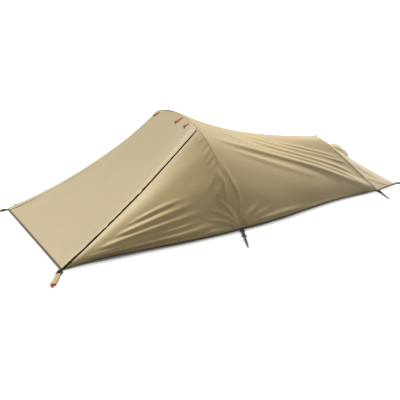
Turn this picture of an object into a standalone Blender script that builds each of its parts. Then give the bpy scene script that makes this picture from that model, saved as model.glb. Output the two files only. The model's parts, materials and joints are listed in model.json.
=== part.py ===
"""A one-person tent: a tall leaning hoop, a low rear hoop, a sloping front door and pegged corners.

Metres, +Z up. The origin is on the ground midway between the feet of the main hoop,
+X runs to the foot of the tent and the near side is -Y.
"""

import math

import bmesh
import bpy
from mathutils import Matrix, Vector

# Plan of the tent
HEAD_REACH = 1.17
FOOT_REACH = 1.57
TIP_REACH = 1.91
HEAD_WIDTH = 1.37
HOOP_WIDTH = 1.05
FOOT_WIDTH = 0.28
TIP_WIDTH = 0.05

# Main hoop and the low rear hoop
HOOP_HEIGHT = 0.70
HOOP_LEAN = 0.23
HOOP_SQUARENESS = 2.75
REAR_PEAK_REACH = 1.00
REAR_PEAK_HEIGHT = 0.46
REAR_SQUARENESS = 2.5

# Poles, the joining tubes between their sections and the sleeves that hold them
POLE_RADIUS = 0.00425
FERRULE_LENGTH = 0.05
FERRULE_WALL = 0.00055
POLE_CLEARANCE = 0.0004
FERRULE_CLEARANCE = 0.0003
SLEEVE_WALL = 0.0008
REAR_POLE_RADIUS = 0.0035
REAR_SLEEVE_WALL = 0.0008
SLEEVE_FOOT_HEIGHT = 0.035

# Cloth
FABRIC = 0.002
HEM_HEIGHT = 0.0034
SEAM_GAP = 0.0005
RIDGE_HALF_GAP = 0.00045
SEAM_RISE = 0.75
CLOTH_TILT = math.radians(30)
FOOT_TILT = math.radians(79)
DOOR_CROWN_POWER = 2.0
DOOR_SPLIT = 0.93
ZIP_SAG_IN = 0.030
ZIP_SAG_DOWN = 0.045
FRONT_HEM_BOW = 0.004
FRONT_HEM_SKEW = -0.050
REAR_HEM_BOW = 0.028
REAR_HEM_SKEW = 0.075
RIDGE_SAG = 0.055
RIDGE_SAG_SKEW = 0.35
FOOT_SAG = 0.016

# Folds pulled into the cloth by the pegged corners
GUSSET_START = 0.012
GUSSET_FOLD_DEPTH = 0.011
GUSSET_FOLDS = 3
GUSSET_FOLD_BAND = (0.10, 0.66)
GUSSET_FOLD_RISE = (0.1, 0.4)
GUSSET_FOLD_FALL = (0.6, 1.0)
WALL_FOLD_DEPTH = 0.008
WALL_FOLDS = 3
WALL_FOLD_BAND = (0.38, 0.92)
FOLD_ROUNDING = 0.7
FOLD_FULL_HEIGHT = 0.132

# Zips and the flaps over them
ZIP_INSET = 0.003
GUSSET_ZIP_INSET = 0.004
TAPE_WIDTH = 0.009
TAPE_SHARE = 0.25
TAPE_START = 0.06
TAPE_END = 0.985
TAPE_GAP = 0.0008
TAPE_THICKNESS = 0.0012
FLAP_WIDTH = 0.045
FLAP_OVERHANG = 0.003
FLAP_THICKNESS = 0.0016
FLAP_GAP = 0.0006
FLAP_END = 0.008
SLIDER_LENGTH = 0.016
SLIDER_WIDTH = 0.007
SLIDER_THICKNESS = 0.0045
SLIDER_WAIST = 0.00252
SLIDER_SHOULDER = 0.0016
SLIDER_START = 0.055
SLIDER_CLEARANCE = 0.0012
SLIDER_ROLL = math.radians(10)
PULL_LENGTH = 0.034
PULL_WIDTH = 0.006
PULL_THICKNESS = 0.0018
PULL_PIVOT = 0.002
PULL_WIDEST = 0.7

# Floor and the net wall inside
FLOOR_THICKNESS = 0.002
FLOOR_WALL_HEIGHT = 0.060
FLOOR_CLEARANCE = 0.0018
FLOOR_SIDE_SLOPE = 0.018
FLOOR_END_SLOPE = 0.008
FLOOR_GUSSET_STATIONS = (0.535, 0.66, 0.79, 0.90)
FLOOR_WALL_STATIONS = (0.06, 0.16, 0.27, 0.39, 0.52, 0.65, 0.77, 0.87, 0.95)
NET_THICKNESS = 0.0015
NET_FOOT_GAP = 0.0003
NET_TOP = 0.245
NET_TOP_HEIGHT = 0.640
NET_DOOR_SILL = 0.050
NET_DOOR_BORDER = 0.060
NET_SIDE_CLEARANCE = 0.0112
NET_ROUND = 6
NET_WIDTH_KEPT = 0.86

# Vent at the foot end
VENT_BACK = 1.135
VENT_MOUTH = 1.290
VENT_HALF_WIDTH = 0.066
VENT_HEIGHT = 0.046
VENT_LIP_HEIGHT = 0.034
VENT_BACK_WIDTH = 0.45
VENT_SWELL_END = 0.65
VENT_FALL_START = 0.6
VENT_LIFT = 0.003125
VENT_HOLE_START = 1.19
VENT_HOLE_END = 1.265
VENT_HOLE_HALF_WIDTH = 0.030
RIM_RADIUS = 0.0022

# Ties that hold the rolled door: place on the front slope, degrees off the fall of the slope, and length
TIES = {
    "far": (0.985, 0.33, 55, 0.052),
    "middle": (0.991, -0.61, 33, 0.052),
    "near": (0.989, -0.83, 25, 0.036),
}
TIE_WIDTH = 0.013
TIE_CORD_RADIUS = 0.0016
TOGGLE_LENGTH = 0.020
TOGGLE_RADIUS = 0.0035
TOGGLE_END_RADIUS = 0.00252
TOGGLE_END_BEVEL = 0.002

# Webbing, buckles and pegs
WEBBING_WIDTH = 0.020
WEBBING = 0.0016
WEBBING_GROUND_GAP = 0.0006
TAB_UNDER_HEM = 0.020
TAB_FLAT = 0.010
TAB_TOP = 0.018
BUCKLE_START = 0.022
BUCKLE_LENGTH = 0.034
BUCKLE_WIDTH = 0.027
BUCKLE_JAW = 0.0022
BUCKLE_HEIGHT = 0.0050
BUCKLE_ROOT = 0.004
JAW_CLEARANCE = 0.0005
STRAP_INSERT = 0.026
STRAP_REACH = {"head": 0.130, "middle": 0.095, "foot": 0.035, "tip": 0.030}
LOOP_HOLE_RADIUS = 0.0022
PEAK_LOOP_RADIUS = 0.0085
PEAK_LOOP_WIDTH = 0.010
PEAK_LOOP_INSET = 0.002
PEG_CORD_RADIUS = 0.0015
PEG_CORD_LENGTH = 0.038
PEG_CORD_WIDTH = 0.026
PEG_CORD_TURN = (0.004, 0.003)
PEG_CORD_WAIST = (0.55, 0.7)
PEG_CORD_END = 0.0012
PEG_RADIUS = 0.0034
PEG_TIP_RADIUS = 0.0008
PEG_LENGTH = 0.175
PEG_POINT_LENGTH = 0.001
PEG_HEAD_LENGTH = 0.006
PEG_MIDDLE_RADIUS = 0.00272
PEG_OVERLAP = 0.004
PEG_GROUND_GAP = 0.0004

# Each corner: its name and the way its strap points in plan. One is shown with its cord loop alone.
LOOSE_CORNER = "head_near"
ANCHOR_HEADINGS = {
    "head_near": (-0.43, -0.90),
    "head_far": (-0.90, -0.43),
    "middle_near": (-0.46, -0.89),
    "middle_far": (-0.46, 0.89),
    "foot_near": (-0.50, -0.87),
    "foot_far": (-0.50, 0.87),
    "tip": (0.80, -0.60),
}

# Rows of cloth, counted from a hem, 0, over the ridge to the other hem
RIDGE_ROW = 24
ROW_CROWDING = 1.25
ZIP_ROW = 14
HOOP_ROW_STEP = 2
REAR_LEAST_STEP = 0.036
LOW_REAR_SHARE = 0.15
POLE_JOINTS = (6.5, 17.5)

# Counts of cloth facets
GUSSET_CELLS = (16, 21)
WALL_CELLS = 15
DOOR_CELLS = 10
BROW_CELLS = 2
FOOT_CELLS = 8
STRIP_CELLS = 12
VENT_CELLS = (7, 8)
VENT_NET_CELLS = 4
FLOOR_CELLS = 5
NET_SAMPLES = 12
LOOP_SAMPLES = 8
STRAP_LOOP_SAMPLES = 12
LOOP_HOLE_SIDES = 10
TURNED_STEPS = 8
TUBE_RESOLUTION = 2
TUBE_SIDES = 8
DENSE = 240
SLOPE_STEP = 0.03
WELD = 0.00001

EYE_FACTOR = math.cos(math.pi / TUBE_SIDES)
FERRULE_BORE = POLE_RADIUS / EYE_FACTOR + POLE_CLEARANCE
SLEEVE_BORE = (FERRULE_BORE + FERRULE_WALL + FERRULE_CLEARANCE) / EYE_FACTOR
SLEEVE_RADIUS = SLEEVE_BORE + SLEEVE_WALL
REAR_BORE = (REAR_POLE_RADIUS + POLE_CLEARANCE) / EYE_FACTOR
REAR_SLEEVE_RADIUS = REAR_BORE + REAR_SLEEVE_WALL
TIE_LIFT = FABRIC / 2 + SEAM_GAP + TIE_CORD_RADIUS
PEG_DROP = BUCKLE_HEIGHT - PEG_RADIUS - PEG_GROUND_GAP


def mix(a, b, t):
    return a * (1 - t) + b * t


def smooth_step(low, high, value):
    t = min(max((value - low) / (high - low), 0.0), 1.0)
    return t * t * (3 - 2 * t)


def solve(function, low, high):
    """The value between low and high where a rising function crosses zero."""
    for _ in range(48):
        middle = (low + high) / 2
        if function(middle) < 0:
            low = middle
        else:
            high = middle
    return (low + high) / 2


# The two hoops. Each is a list of (row, point) stations, so cloth and pole bend at the same places.

HOOP_NORMAL = Vector((HOOP_HEIGHT, 0, HOOP_LEAN)).normalized()
REAR_LEAN = FOOT_REACH - REAR_PEAK_REACH
REAR_NORMAL = Vector((REAR_PEAK_HEIGHT, 0, REAR_LEAN)).normalized()


def row_share(row):
    """How far up the main hoop's half length a row of cloth meets it."""
    return 1 - (1 - row / RIDGE_ROW) ** ROW_CROWDING


def rear_share(row):
    """How far up the rear hoop's half length the same row meets it."""
    share = row_share(row)
    return LOW_REAR_SHARE * share + (1 - LOW_REAR_SHARE) * share**3


def half_arch(half, height, squareness, foot_x, lean, spread):
    """Points of an arch at each row from the near foot to the top."""
    dense = []
    for step in range(DENSE + 1):
        angle = math.pi / 2 * step / DENSE
        across = math.cos(angle) ** (2 / squareness) if step < DENSE else 0.0
        rise = math.sin(angle) ** (2 / squareness) if step else 0.0
        dense.append(Vector((foot_x - lean * rise, -half * across, height * rise)))
    lengths = [0.0]
    for a, b in zip(dense, dense[1:]):
        lengths.append(lengths[-1] + (b - a).length)
    points = []
    for row in range(RIDGE_ROW + 1):
        target = lengths[-1] * spread(row)
        index = max(i for i in range(DENSE) if lengths[i] <= target or i == 0)
        share = (target - lengths[index]) / (lengths[index + 1] - lengths[index])
        points.append(mix(dense[index], dense[index + 1], min(share, 1.0)))
    return points


def whole_arch(points, rows):
    """The stations of both sides, from the near foot over the top to the far foot."""
    near = [(row, points[row]) for row in rows]
    far = [(2 * RIDGE_ROW - row, point * Vector((1, -1, 1))) for row, point in reversed(near[:-1])]
    return near + far


def rows_apart(points, least):
    rows = [0]
    for row in range(1, RIDGE_ROW):
        if (points[row] - points[rows[-1]]).length >= least and (
            (points[RIDGE_ROW] - points[row]).length >= least
        ):
            rows.append(row)
    return [*rows, RIDGE_ROW]


def moved_out(path, normal, distance):
    """The path moved outward in its plane, each side parallel to the old one."""
    points = [point for _, point in path]
    sides = [(b - a).normalized().cross(normal) for a, b in zip(points, points[1:])]
    out = 1 if sides[len(sides) // 2].z > 0 else -1
    moved = []
    for index, (row, point) in enumerate(path):
        first, second = sides[max(index - 1, 0)], sides[min(index, len(sides) - 1)]
        moved.append((row, point + (first + second) * out * distance / (1 + first.dot(second))))
    return moved


def at_row(path, row):
    for (low, a), (high, b) in zip(path, path[1:]):
        if row <= high:
            return mix(a, b, (row - low) / (high - low))
    return path[-1][1]


def seam_offset(radius, tilt):
    """How far off a hoop's plane a cloth edge stops so that it clears the sleeve, for cloth at a tilt."""
    rise, clear = radius * SEAM_RISE, radius + SEAM_GAP
    if tilt > math.pi / 4:
        return (clear + FABRIC / 2 - rise * math.cos(tilt)) / math.sin(tilt)
    inner = rise - FABRIC / 2 * math.cos(tilt)
    return math.sqrt(clear * clear - inner * inner) + FABRIC / 2 * math.sin(tilt)


HOOP_POINTS = half_arch(
    HOOP_WIDTH / 2 - SLEEVE_RADIUS,
    HOOP_HEIGHT - SLEEVE_RADIUS,
    HOOP_SQUARENESS,
    0.0,
    HOOP_LEAN,
    row_share,
)
REAR_POINTS = half_arch(
    FOOT_WIDTH / 2 - REAR_SLEEVE_RADIUS,
    REAR_PEAK_HEIGHT - REAR_SLEEVE_RADIUS,
    REAR_SQUARENESS,
    FOOT_REACH,
    REAR_LEAN,
    rear_share,
)
HOOP_PATH = whole_arch(HOOP_POINTS, range(0, RIDGE_ROW + 1, HOOP_ROW_STEP))
REAR_PATH = whole_arch(REAR_POINTS, rows_apart(REAR_POINTS, REAR_LEAST_STEP))
HOOP_OFFSET = seam_offset(SLEEVE_RADIUS, CLOTH_TILT)
REAR_OFFSET = seam_offset(REAR_SLEEVE_RADIUS, CLOTH_TILT)
FOOT_OFFSET = seam_offset(REAR_SLEEVE_RADIUS, FOOT_TILT)
HOOP_SEAM = moved_out(HOOP_PATH, HOOP_NORMAL, SLEEVE_RADIUS * SEAM_RISE)
REAR_SEAM = moved_out(REAR_PATH, REAR_NORMAL, REAR_SLEEVE_RADIUS * SEAM_RISE)


def on_ground(point):
    return Vector((point.x, point.y, max(point.z, HEM_HEIGHT)))


def seam_height(across):
    """Height of the main hoop's seam at a distance from the middle."""
    row = solve(lambda k: at_row(HOOP_SEAM, k).y + abs(across), 0, RIDGE_ROW)
    return at_row(HOOP_SEAM, row).z


# The front: door, brow and gussets. Every function gives the near side, -Y.

HEAD_CORNER = Vector((-HEAD_REACH, -HEAD_WIDTH / 2, HEM_HEIGHT))
ZIP_SEAM = at_row(HOOP_SEAM, ZIP_ROW)
ZIP_TOP = ZIP_SEAM - HOOP_NORMAL * HOOP_OFFSET
ZIP_CHORD = ZIP_TOP - HEAD_CORNER
ZIP_SAG = Vector((0, ZIP_SAG_IN, -ZIP_SAG_DOWN))
ZIP_SAG = ZIP_SAG - ZIP_SAG.project(ZIP_CHORD)


def zip_point(t):
    return HEAD_CORNER + ZIP_CHORD * t + ZIP_SAG * (4 * t * (1 - t))


def door_point(t, q):
    """A point of the front slope: t from the head hem to the hoop, q from -1 near to 1 far."""
    edge = zip_point(t)
    width = min(max(q, -1.0), 1.0)
    rise = (seam_height(width * ZIP_TOP.y) - ZIP_SEAM.z) * t**DOOR_CROWN_POWER
    return Vector((edge.x - HOOP_LEAN / HOOP_HEIGHT * rise, -q * edge.y, edge.z + rise))


def gusset_row(v):
    """The end of a gusset's row on the hoop seam, from the foot, 0, to the zip's top, 1."""
    return on_ground(at_row(HOOP_SEAM, v * ZIP_ROW) - HOOP_NORMAL * HOOP_OFFSET)


def fold_wave(place, low, high, count):
    """A run of rounded folds between two places, fading at both ends."""
    if not low < place < high:
        return 0.0
    share = (place - low) / (high - low)
    return math.sin(math.pi * share) ** FOLD_ROUNDING * math.cos(2 * math.pi * count * share)


def hem_bow(share, bow, skew):
    """How far in a hem is drawn between two pegged corners, more towards one of them."""
    return 4 * share * (1 - share) * (bow + skew * (2 * share - 1))


def gusset_point(r, v, folded=True):
    """A point of the near gusset: r from the head corner to the hoop, v from the hem to the zip."""
    end = gusset_row(v)
    bow = 4 * r * (1 - r)
    point = mix(HEAD_CORNER, end, r)
    point.y += hem_bow(r, FRONT_HEM_BOW, FRONT_HEM_SKEW) * (1 - v) ** 2
    point += ZIP_SAG * bow * v * v
    if folded:
        lift = smooth_step(FLOOR_WALL_HEIGHT, FOLD_FULL_HEIGHT, point.z)
        wave = fold_wave(v, *GUSSET_FOLD_BAND, GUSSET_FOLDS) * smooth_step(*GUSSET_FOLD_RISE, r)
        point += Vector((0, -GUSSET_FOLD_DEPTH, 0)) * wave * lift * (1 - smooth_step(*GUSSET_FOLD_FALL, r))
    return point


# The rear: two walls that meet at the ridge, and the foot panel behind the rear hoop


def wall_point(u, row, folded=True):
    """A point of the near rear wall: u from the main hoop to the rear hoop, row from hem to ridge."""
    v = row_share(row)
    front = on_ground(at_row(HOOP_SEAM, row) + HOOP_NORMAL * HOOP_OFFSET)
    back = on_ground(at_row(REAR_SEAM, row) - REAR_NORMAL * REAR_OFFSET)
    if row == 0:
        front.z = back.z = HEM_HEIGHT
    point = mix(front, back, u)
    bow = 4 * u * (1 - u)
    point.y += hem_bow(u, REAR_HEM_BOW, REAR_HEM_SKEW) * (1 - v) ** 2
    point += Vector((0, 0, -RIDGE_SAG)) * bow * (1 + RIDGE_SAG_SKEW * (0.5 - u) * 2) * v * v
    if folded:
        lift = smooth_step(FLOOR_WALL_HEIGHT, FOLD_FULL_HEIGHT, point.z)
        wave = fold_wave(v, *WALL_FOLD_BAND, WALL_FOLDS) * math.sin(math.pi * u)
        point += Vector((0, -WALL_FOLD_DEPTH, WALL_FOLD_DEPTH)) * wave * lift
    point.y = min(point.y, -RIDGE_HALF_GAP)
    return point


def foot_point(s, row):
    """A point of the foot panel: s from the rear hoop to the tip, row from near hem to far hem."""
    front = on_ground(at_row(REAR_SEAM, row) + REAR_NORMAL * FOOT_OFFSET)
    share = rear_share(row) / 2 if row <= RIDGE_ROW else 1 - rear_share(2 * RIDGE_ROW - row) / 2
    angle = math.pi * share
    back = Vector((TIP_REACH, -TIP_WIDTH / 2 * math.cos(angle), HEM_HEIGHT))
    if row in (0, 2 * RIDGE_ROW):
        front.z = HEM_HEIGHT
    point = mix(front, back, s)
    point.z -= FOOT_SAG * 4 * s * (1 - s) * (front.z - HEM_HEIGHT) / REAR_PEAK_HEIGHT
    return point


def foot_height(x, across):
    """Height of the foot panel over a place in plan."""
    row = solve(lambda k: foot_place(x, k).y + abs(across), 0.001, RIDGE_ROW)
    return foot_place(x, row).z


def foot_place(x, row):
    front = foot_point(0, row)
    return foot_point((x - front.x) / (TIP_REACH - front.x), row)


def normal_of(surface, a, b, step=0.004):
    """The upward or outward normal of a surface given by two parameters."""
    low_a, high_a = max(a - step, 0.0), min(a + step, 1.0)
    along_a = surface(high_a, b) - surface(low_a, b)
    along_b = surface(a, b + step) - surface(a, b - step)
    return along_a.cross(along_b).normalized()


# Making objects


def clear_scene():
    for obj in list(bpy.data.objects):
        bpy.data.objects.remove(obj, do_unlink=True)
    for block in list(bpy.data.collections):
        bpy.data.collections.remove(block)


def new_collection(name, hidden=False):
    block = bpy.data.collections.new(name)
    bpy.context.scene.collection.children.link(block)
    block.hide_render = hidden
    return block


def material(name, colour, roughness, metallic=0.0):
    made = bpy.data.materials.new(name)
    made.use_nodes = True
    shader = made.node_tree.nodes["Principled BSDF"]
    shader.inputs["Base Color"].default_value = (*colour, 1.0)
    shader.inputs["Roughness"].default_value = roughness
    shader.inputs["Metallic"].default_value = metallic
    made.diffuse_color = (*colour, 1.0)
    return made


def add_object(name, data, finish, collection=None):
    obj = bpy.data.objects.new(name, data)
    (collection or TENT).objects.link(obj)
    if not data.materials:
        data.materials.append(finish)
    return obj


def solidify(obj, thickness, offset=0.0):
    shell = obj.modifiers.new("Thickness", "SOLIDIFY")
    shell.thickness = thickness
    shell.offset = offset


def sheet(name, rows, finish, thickness, side=1):
    """Cloth as a lofted grid of points with a thickness; side -1 mirrors it to the far side."""
    mesh = bmesh.new()
    grid = [[mesh.verts.new((p.x, p.y * side, p.z)) for p in row] for row in rows]
    for low, high in zip(grid, grid[1:]):
        for corner in range(len(low) - 1):
            ring = [low[corner], low[corner + 1], high[corner + 1], high[corner]]
            if corner < (len(low) - 1) / 2:
                ring = ring[1:] + ring[:1]
            mesh.faces.new(ring)
    bmesh.ops.recalc_face_normals(mesh, faces=mesh.faces)
    data = bpy.data.meshes.new(name)
    mesh.to_mesh(data)
    mesh.free()
    data.shade_smooth()
    obj = add_object(name, data, finish)
    solidify(obj, thickness)
    return obj


def tube(name, points, radius, finish, capped=True, closed=False, resolution=TUBE_RESOLUTION):
    data = bpy.data.curves.new(name, "CURVE")
    data.dimensions = "3D"
    data.bevel_depth = radius
    data.bevel_resolution = resolution
    data.use_fill_caps = capped
    line = data.splines.new("POLY")
    line.points.add(len(points) - 1)
    for slot, point in zip(line.points, points):
        slot.co = (*point, 1.0)
    line.use_cyclic_u = closed
    line.use_smooth = True
    return add_object(name, data, finish)


def hollow_tube(name, points, bore, wall, finish):
    obj = tube(name, points, bore, finish, capped=False)
    solidify(obj, wall, 1.0)
    return obj


def plate(name, outlines, thickness, finish, matrix):
    """A flat outline, with any holes after it, extruded to a thickness about its own plane."""
    data = bpy.data.curves.new(name, "CURVE")
    data.dimensions = "2D"
    data.fill_mode = "BOTH"
    data.extrude = thickness / 2
    for outline in outlines:
        line = data.splines.new("POLY")
        line.points.add(len(outline) - 1)
        for slot, (x, y) in zip(line.points, outline):
            slot.co = (x, y, 0.0, 1.0)
        line.use_cyclic_u = True
    obj = add_object(name, data, finish)
    obj.matrix_world = matrix
    return obj


def mesh_of(obj):
    """The welded mesh of a curve object, in its own axes, with the curve removed."""
    bpy.context.view_layer.update()
    graph = bpy.context.evaluated_depsgraph_get()
    data = bpy.data.meshes.new_from_object(obj.evaluated_get(graph))
    work = bmesh.new()
    work.from_mesh(data)
    bmesh.ops.remove_doubles(work, verts=work.verts, dist=WELD)
    bmesh.ops.recalc_face_normals(work, faces=work.faces)
    work.to_mesh(data)
    work.free()
    bpy.data.objects.remove(obj, do_unlink=True)
    return data


def turned(name, profile, finish, matrix, steps=TURNED_STEPS):
    """A profile of (radius, height) pairs turned about its own Z axis, top first."""
    data = bpy.data.meshes.new(name)
    vertices = [(radius, 0.0, height) for radius, height in profile]
    data.from_pydata(vertices, [(i, i + 1) for i in range(len(vertices) - 1)], [])
    obj = add_object(name, data, finish)
    screw = obj.modifiers.new("Turn", "SCREW")
    screw.steps = screw.render_steps = steps
    screw.use_merge_vertices = True
    screw.merge_threshold = WELD
    screw.use_normal_calculate = False
    obj.matrix_world = matrix
    return obj


def frame_matrix(origin, x_axis, z_axis):
    """A matrix with its X and Z axes along the two given directions."""
    x_axis = x_axis.normalized()
    y_axis = z_axis.cross(x_axis).normalized()
    z_axis = x_axis.cross(y_axis)
    turn = Matrix((x_axis, y_axis, z_axis)).transposed()
    return Matrix.Translation(origin) @ turn.to_4x4()


# The poles and their sleeves


def make_hoops():
    path = [point for _, point in HOOP_PATH]
    last = len(path) - 1
    foot_rise = WEBBING_GROUND_GAP + WEBBING + POLE_RADIUS * HOOP_NORMAL.z + SEAM_GAP
    low = foot_place_on(path, foot_rise)
    stations = (low, *POLE_JOINTS, last - low)
    chord = (path[int(POLE_JOINTS[0]) + 1] - path[int(POLE_JOINTS[0])]).length
    half_gap = SEAM_GAP / 2 / chord
    for index, name in enumerate(("hoop_pole_near", "hoop_pole_middle", "hoop_pole_far")):
        start = stations[index] + (half_gap if index > 0 else 0)
        end = stations[index + 1] - (half_gap if index < 2 else 0)
        tube(name, section(path, start, end), POLE_RADIUS, POLE_GREY)
    reach = FERRULE_LENGTH / 2 / chord
    for name, place in zip(("hoop_ferrule_near", "hoop_ferrule_far"), POLE_JOINTS):
        hollow_tube(name, section(path, place - reach, place + reach), FERRULE_BORE, FERRULE_WALL, STEEL)
    low = foot_place_on(path, SLEEVE_FOOT_HEIGHT)
    hollow_tube("hoop_sleeve", section(path, low, last - low), SLEEVE_BORE, SLEEVE_WALL, WALL_CLOTH)

    path = [point for _, point in REAR_PATH]
    last = len(path) - 1
    foot_rise = WEBBING_GROUND_GAP + WEBBING + REAR_POLE_RADIUS * REAR_NORMAL.z + SEAM_GAP
    low = foot_place_on(path, foot_rise)
    tube("rear_hoop_pole", section(path, low, last - low), REAR_POLE_RADIUS, POLE_GREY)
    low = foot_place_on(path, SLEEVE_FOOT_HEIGHT)
    sleeve = section(path, low, last - low)
    hollow_tube("rear_hoop_sleeve", sleeve, REAR_BORE, REAR_SLEEVE_WALL, ROOF_CLOTH)


def between(path, place):
    index = min(int(place), len(path) - 2)
    return mix(path[index], path[index + 1], place - index)


def foot_place_on(path, height):
    """The place along a path, in stations, where it first reaches a height."""
    return solve(lambda k: between(path, k).z - height, 0.0, 6.0)


def section(path, start, end):
    inner = [path[k] for k in range(math.ceil(start + 0.05), math.floor(end - 0.05) + 1)]
    return [between(path, start), *inner, between(path, end)]


def make_rear_loop():
    """The short webbing loop sewn to the foot panel at the rear peak."""
    outer, inner = PEAK_LOOP_RADIUS, PEAK_LOOP_RADIUS - WEBBING
    arc = [math.pi * k / LOOP_SAMPLES for k in range(LOOP_SAMPLES + 1)]
    outline = [(outer * math.cos(a), outer * math.sin(a)) for a in arc]
    outline += [(inner * math.cos(a), inner * math.sin(a)) for a in reversed(arc)]
    edge = foot_point(0, RIDGE_ROW)
    along = (foot_point(1, RIDGE_ROW) - edge).normalized()
    up = Vector((0, -1, 0)).cross(along)
    base = edge + along * (outer + PEAK_LOOP_INSET) + up * (FABRIC / 2 + SEAM_GAP)
    matrix = frame_matrix(base, along, Vector((0, -1, 0)))
    plate("rear_peak_loop", [outline], PEAK_LOOP_WIDTH, WEBBING_BLACK, matrix)


# Cloth panels


def door_stations(t):
    """The places across the front slope that have a vertex: its edges, and wherever the hoop bends."""
    bends = [at_row(HOOP_SEAM, row).y / ZIP_TOP.y for row in range(ZIP_ROW + 2, RIDGE_ROW, HOOP_ROW_STEP)]
    half = [-1 + ZIP_INSET / abs(zip_point(t).y), *[-abs(bend) for bend in bends]]
    return [*half, 0.0, *[-q for q in reversed(half)]]


def door_rows(low, high, cells):
    rows = []
    for i in range(cells + 1):
        t = mix(low, high, i / cells)
        rows.append([door_point(t, q) for q in door_stations(t)])
    return rows


def door_facet(t, q):
    """The front slope as its facets have it, on the straight line between two vertices of a row."""
    stations = door_stations(t)
    for low, high in zip(stations, stations[1:]):
        if low <= q <= high:
            return mix(door_point(t, low), door_point(t, high), (q - low) / (high - low))
    return door_point(t, q)


def make_front():
    split_gap = SEAM_GAP / ZIP_CHORD.length
    sheet("door_panel", door_rows(0.0, DOOR_SPLIT, DOOR_CELLS), FRONT_CLOTH, FABRIC)
    sheet("brow_panel", door_rows(DOOR_SPLIT + split_gap, 1.0, BROW_CELLS), FRONT_CLOTH, FABRIC)
    for name, side in (("near", 1), ("far", -1)):
        rows = []
        for i in range(GUSSET_CELLS[0] + 1):
            r = mix(GUSSET_START, 1.0, i / GUSSET_CELLS[0])
            top = 1 - GUSSET_ZIP_INSET / gusset_depth(r)
            rows.append([gusset_point(r, top * j / GUSSET_CELLS[1]) for j in range(GUSSET_CELLS[1] + 1)])
        sheet(f"gusset_{name}", rows, WALL_CLOTH, FABRIC, side)


def gusset_depth(r):
    return (gusset_point(r, 1, False) - gusset_point(r, 0, False)).length


def make_rear():
    for name, side in (("near", 1), ("far", -1)):
        rows = [
            [wall_point(i / WALL_CELLS, row) for row in range(RIDGE_ROW + 1)]
            for i in range(WALL_CELLS + 1)
        ]
        sheet(f"rear_wall_{name}", rows, WALL_CLOTH, FABRIC, side)
    rows = [[foot_point(i / FOOT_CELLS, row) for row, _ in REAR_PATH] for i in range(FOOT_CELLS + 1)]
    foot = sheet("foot_panel", rows, ROOF_CLOTH, FABRIC)
    cutter_data = bpy.data.meshes.new("vent_cutter")
    work = bmesh.new()
    bmesh.ops.create_cube(work, size=1.0)
    work.to_mesh(cutter_data)
    work.free()
    cutter = add_object("vent_cutter", cutter_data, ROOF_CLOTH, CUTTERS)
    cutter.scale = (VENT_HOLE_END - VENT_HOLE_START, VENT_HOLE_HALF_WIDTH * 2, 1.0)
    cutter.location = ((VENT_HOLE_START + VENT_HOLE_END) / 2, 0, REAR_PEAK_HEIGHT)
    cutter.hide_render = True
    cutter.display_type = "WIRE"
    hole = foot.modifiers.new("Vent hole", "BOOLEAN")
    hole.operation = "DIFFERENCE"
    hole.object = cutter


def make_vent():
    edge, cells = SEAM_GAP, VENT_NET_CELLS
    rows = []
    for i in range(cells + 1):
        x = mix(VENT_HOLE_START + edge, VENT_HOLE_END - edge, i / cells)
        across = [mix(-1, 1, j / cells) * (VENT_HOLE_HALF_WIDTH - edge) for j in range(cells + 1)]
        rows.append([Vector((x, y, foot_height(x, y))) for y in across])
    sheet("vent_net", rows, NET_BLACK, NET_THICKNESS)

    rows = []
    for i in range(VENT_CELLS[0] + 1):
        rows.append([vent_point(i / VENT_CELLS[0], j / VENT_CELLS[1]) for j in range(VENT_CELLS[1] + 1)])
    sheet("vent_hood", rows, ROOF_CLOTH, FABRIC)
    forward = Vector((RIM_RADIUS + SEAM_GAP * 2, 0, 0))
    rim = [vent_point(1.0, k / VENT_CELLS[1]) + forward for k in range(VENT_CELLS[1] + 1)]
    tube("vent_rim", rim, RIM_RADIUS, RIM_GREY)


def vent_point(share, turn):
    """A point of the vent hood: share from its back to its mouth, turn from the near to the far side."""
    x = mix(VENT_BACK, VENT_MOUTH, share)
    half = VENT_HALF_WIDTH * mix(VENT_BACK_WIDTH, 1.0, math.sin(math.pi / 2 * share))
    angle = math.pi * turn
    across = -half * math.cos(angle)
    swell = math.sin(math.pi / 2 * min(share / VENT_SWELL_END, 1.0)) * VENT_HEIGHT
    height = mix(swell, VENT_LIP_HEIGHT, smooth_step(VENT_FALL_START, 1.0, share))
    base = foot_height(x, across) + VENT_LIFT
    return Vector((x, across, base + height * math.sin(angle)))


def floor_rim(r):
    """Where the floor's turned-up edge meets the near gusset, before it is drawn in."""
    v = solve(lambda k: gusset_point(r, k, False).z - FLOOR_WALL_HEIGHT, 0.0, 1.0)
    return gusset_point(r, v, False)


def floor_head():
    """The place along the tent of the floor's turned-up head."""
    return floor_rim(FLOOR_GUSSET_STATIONS[0]).x - FLOOR_END_SLOPE


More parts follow.
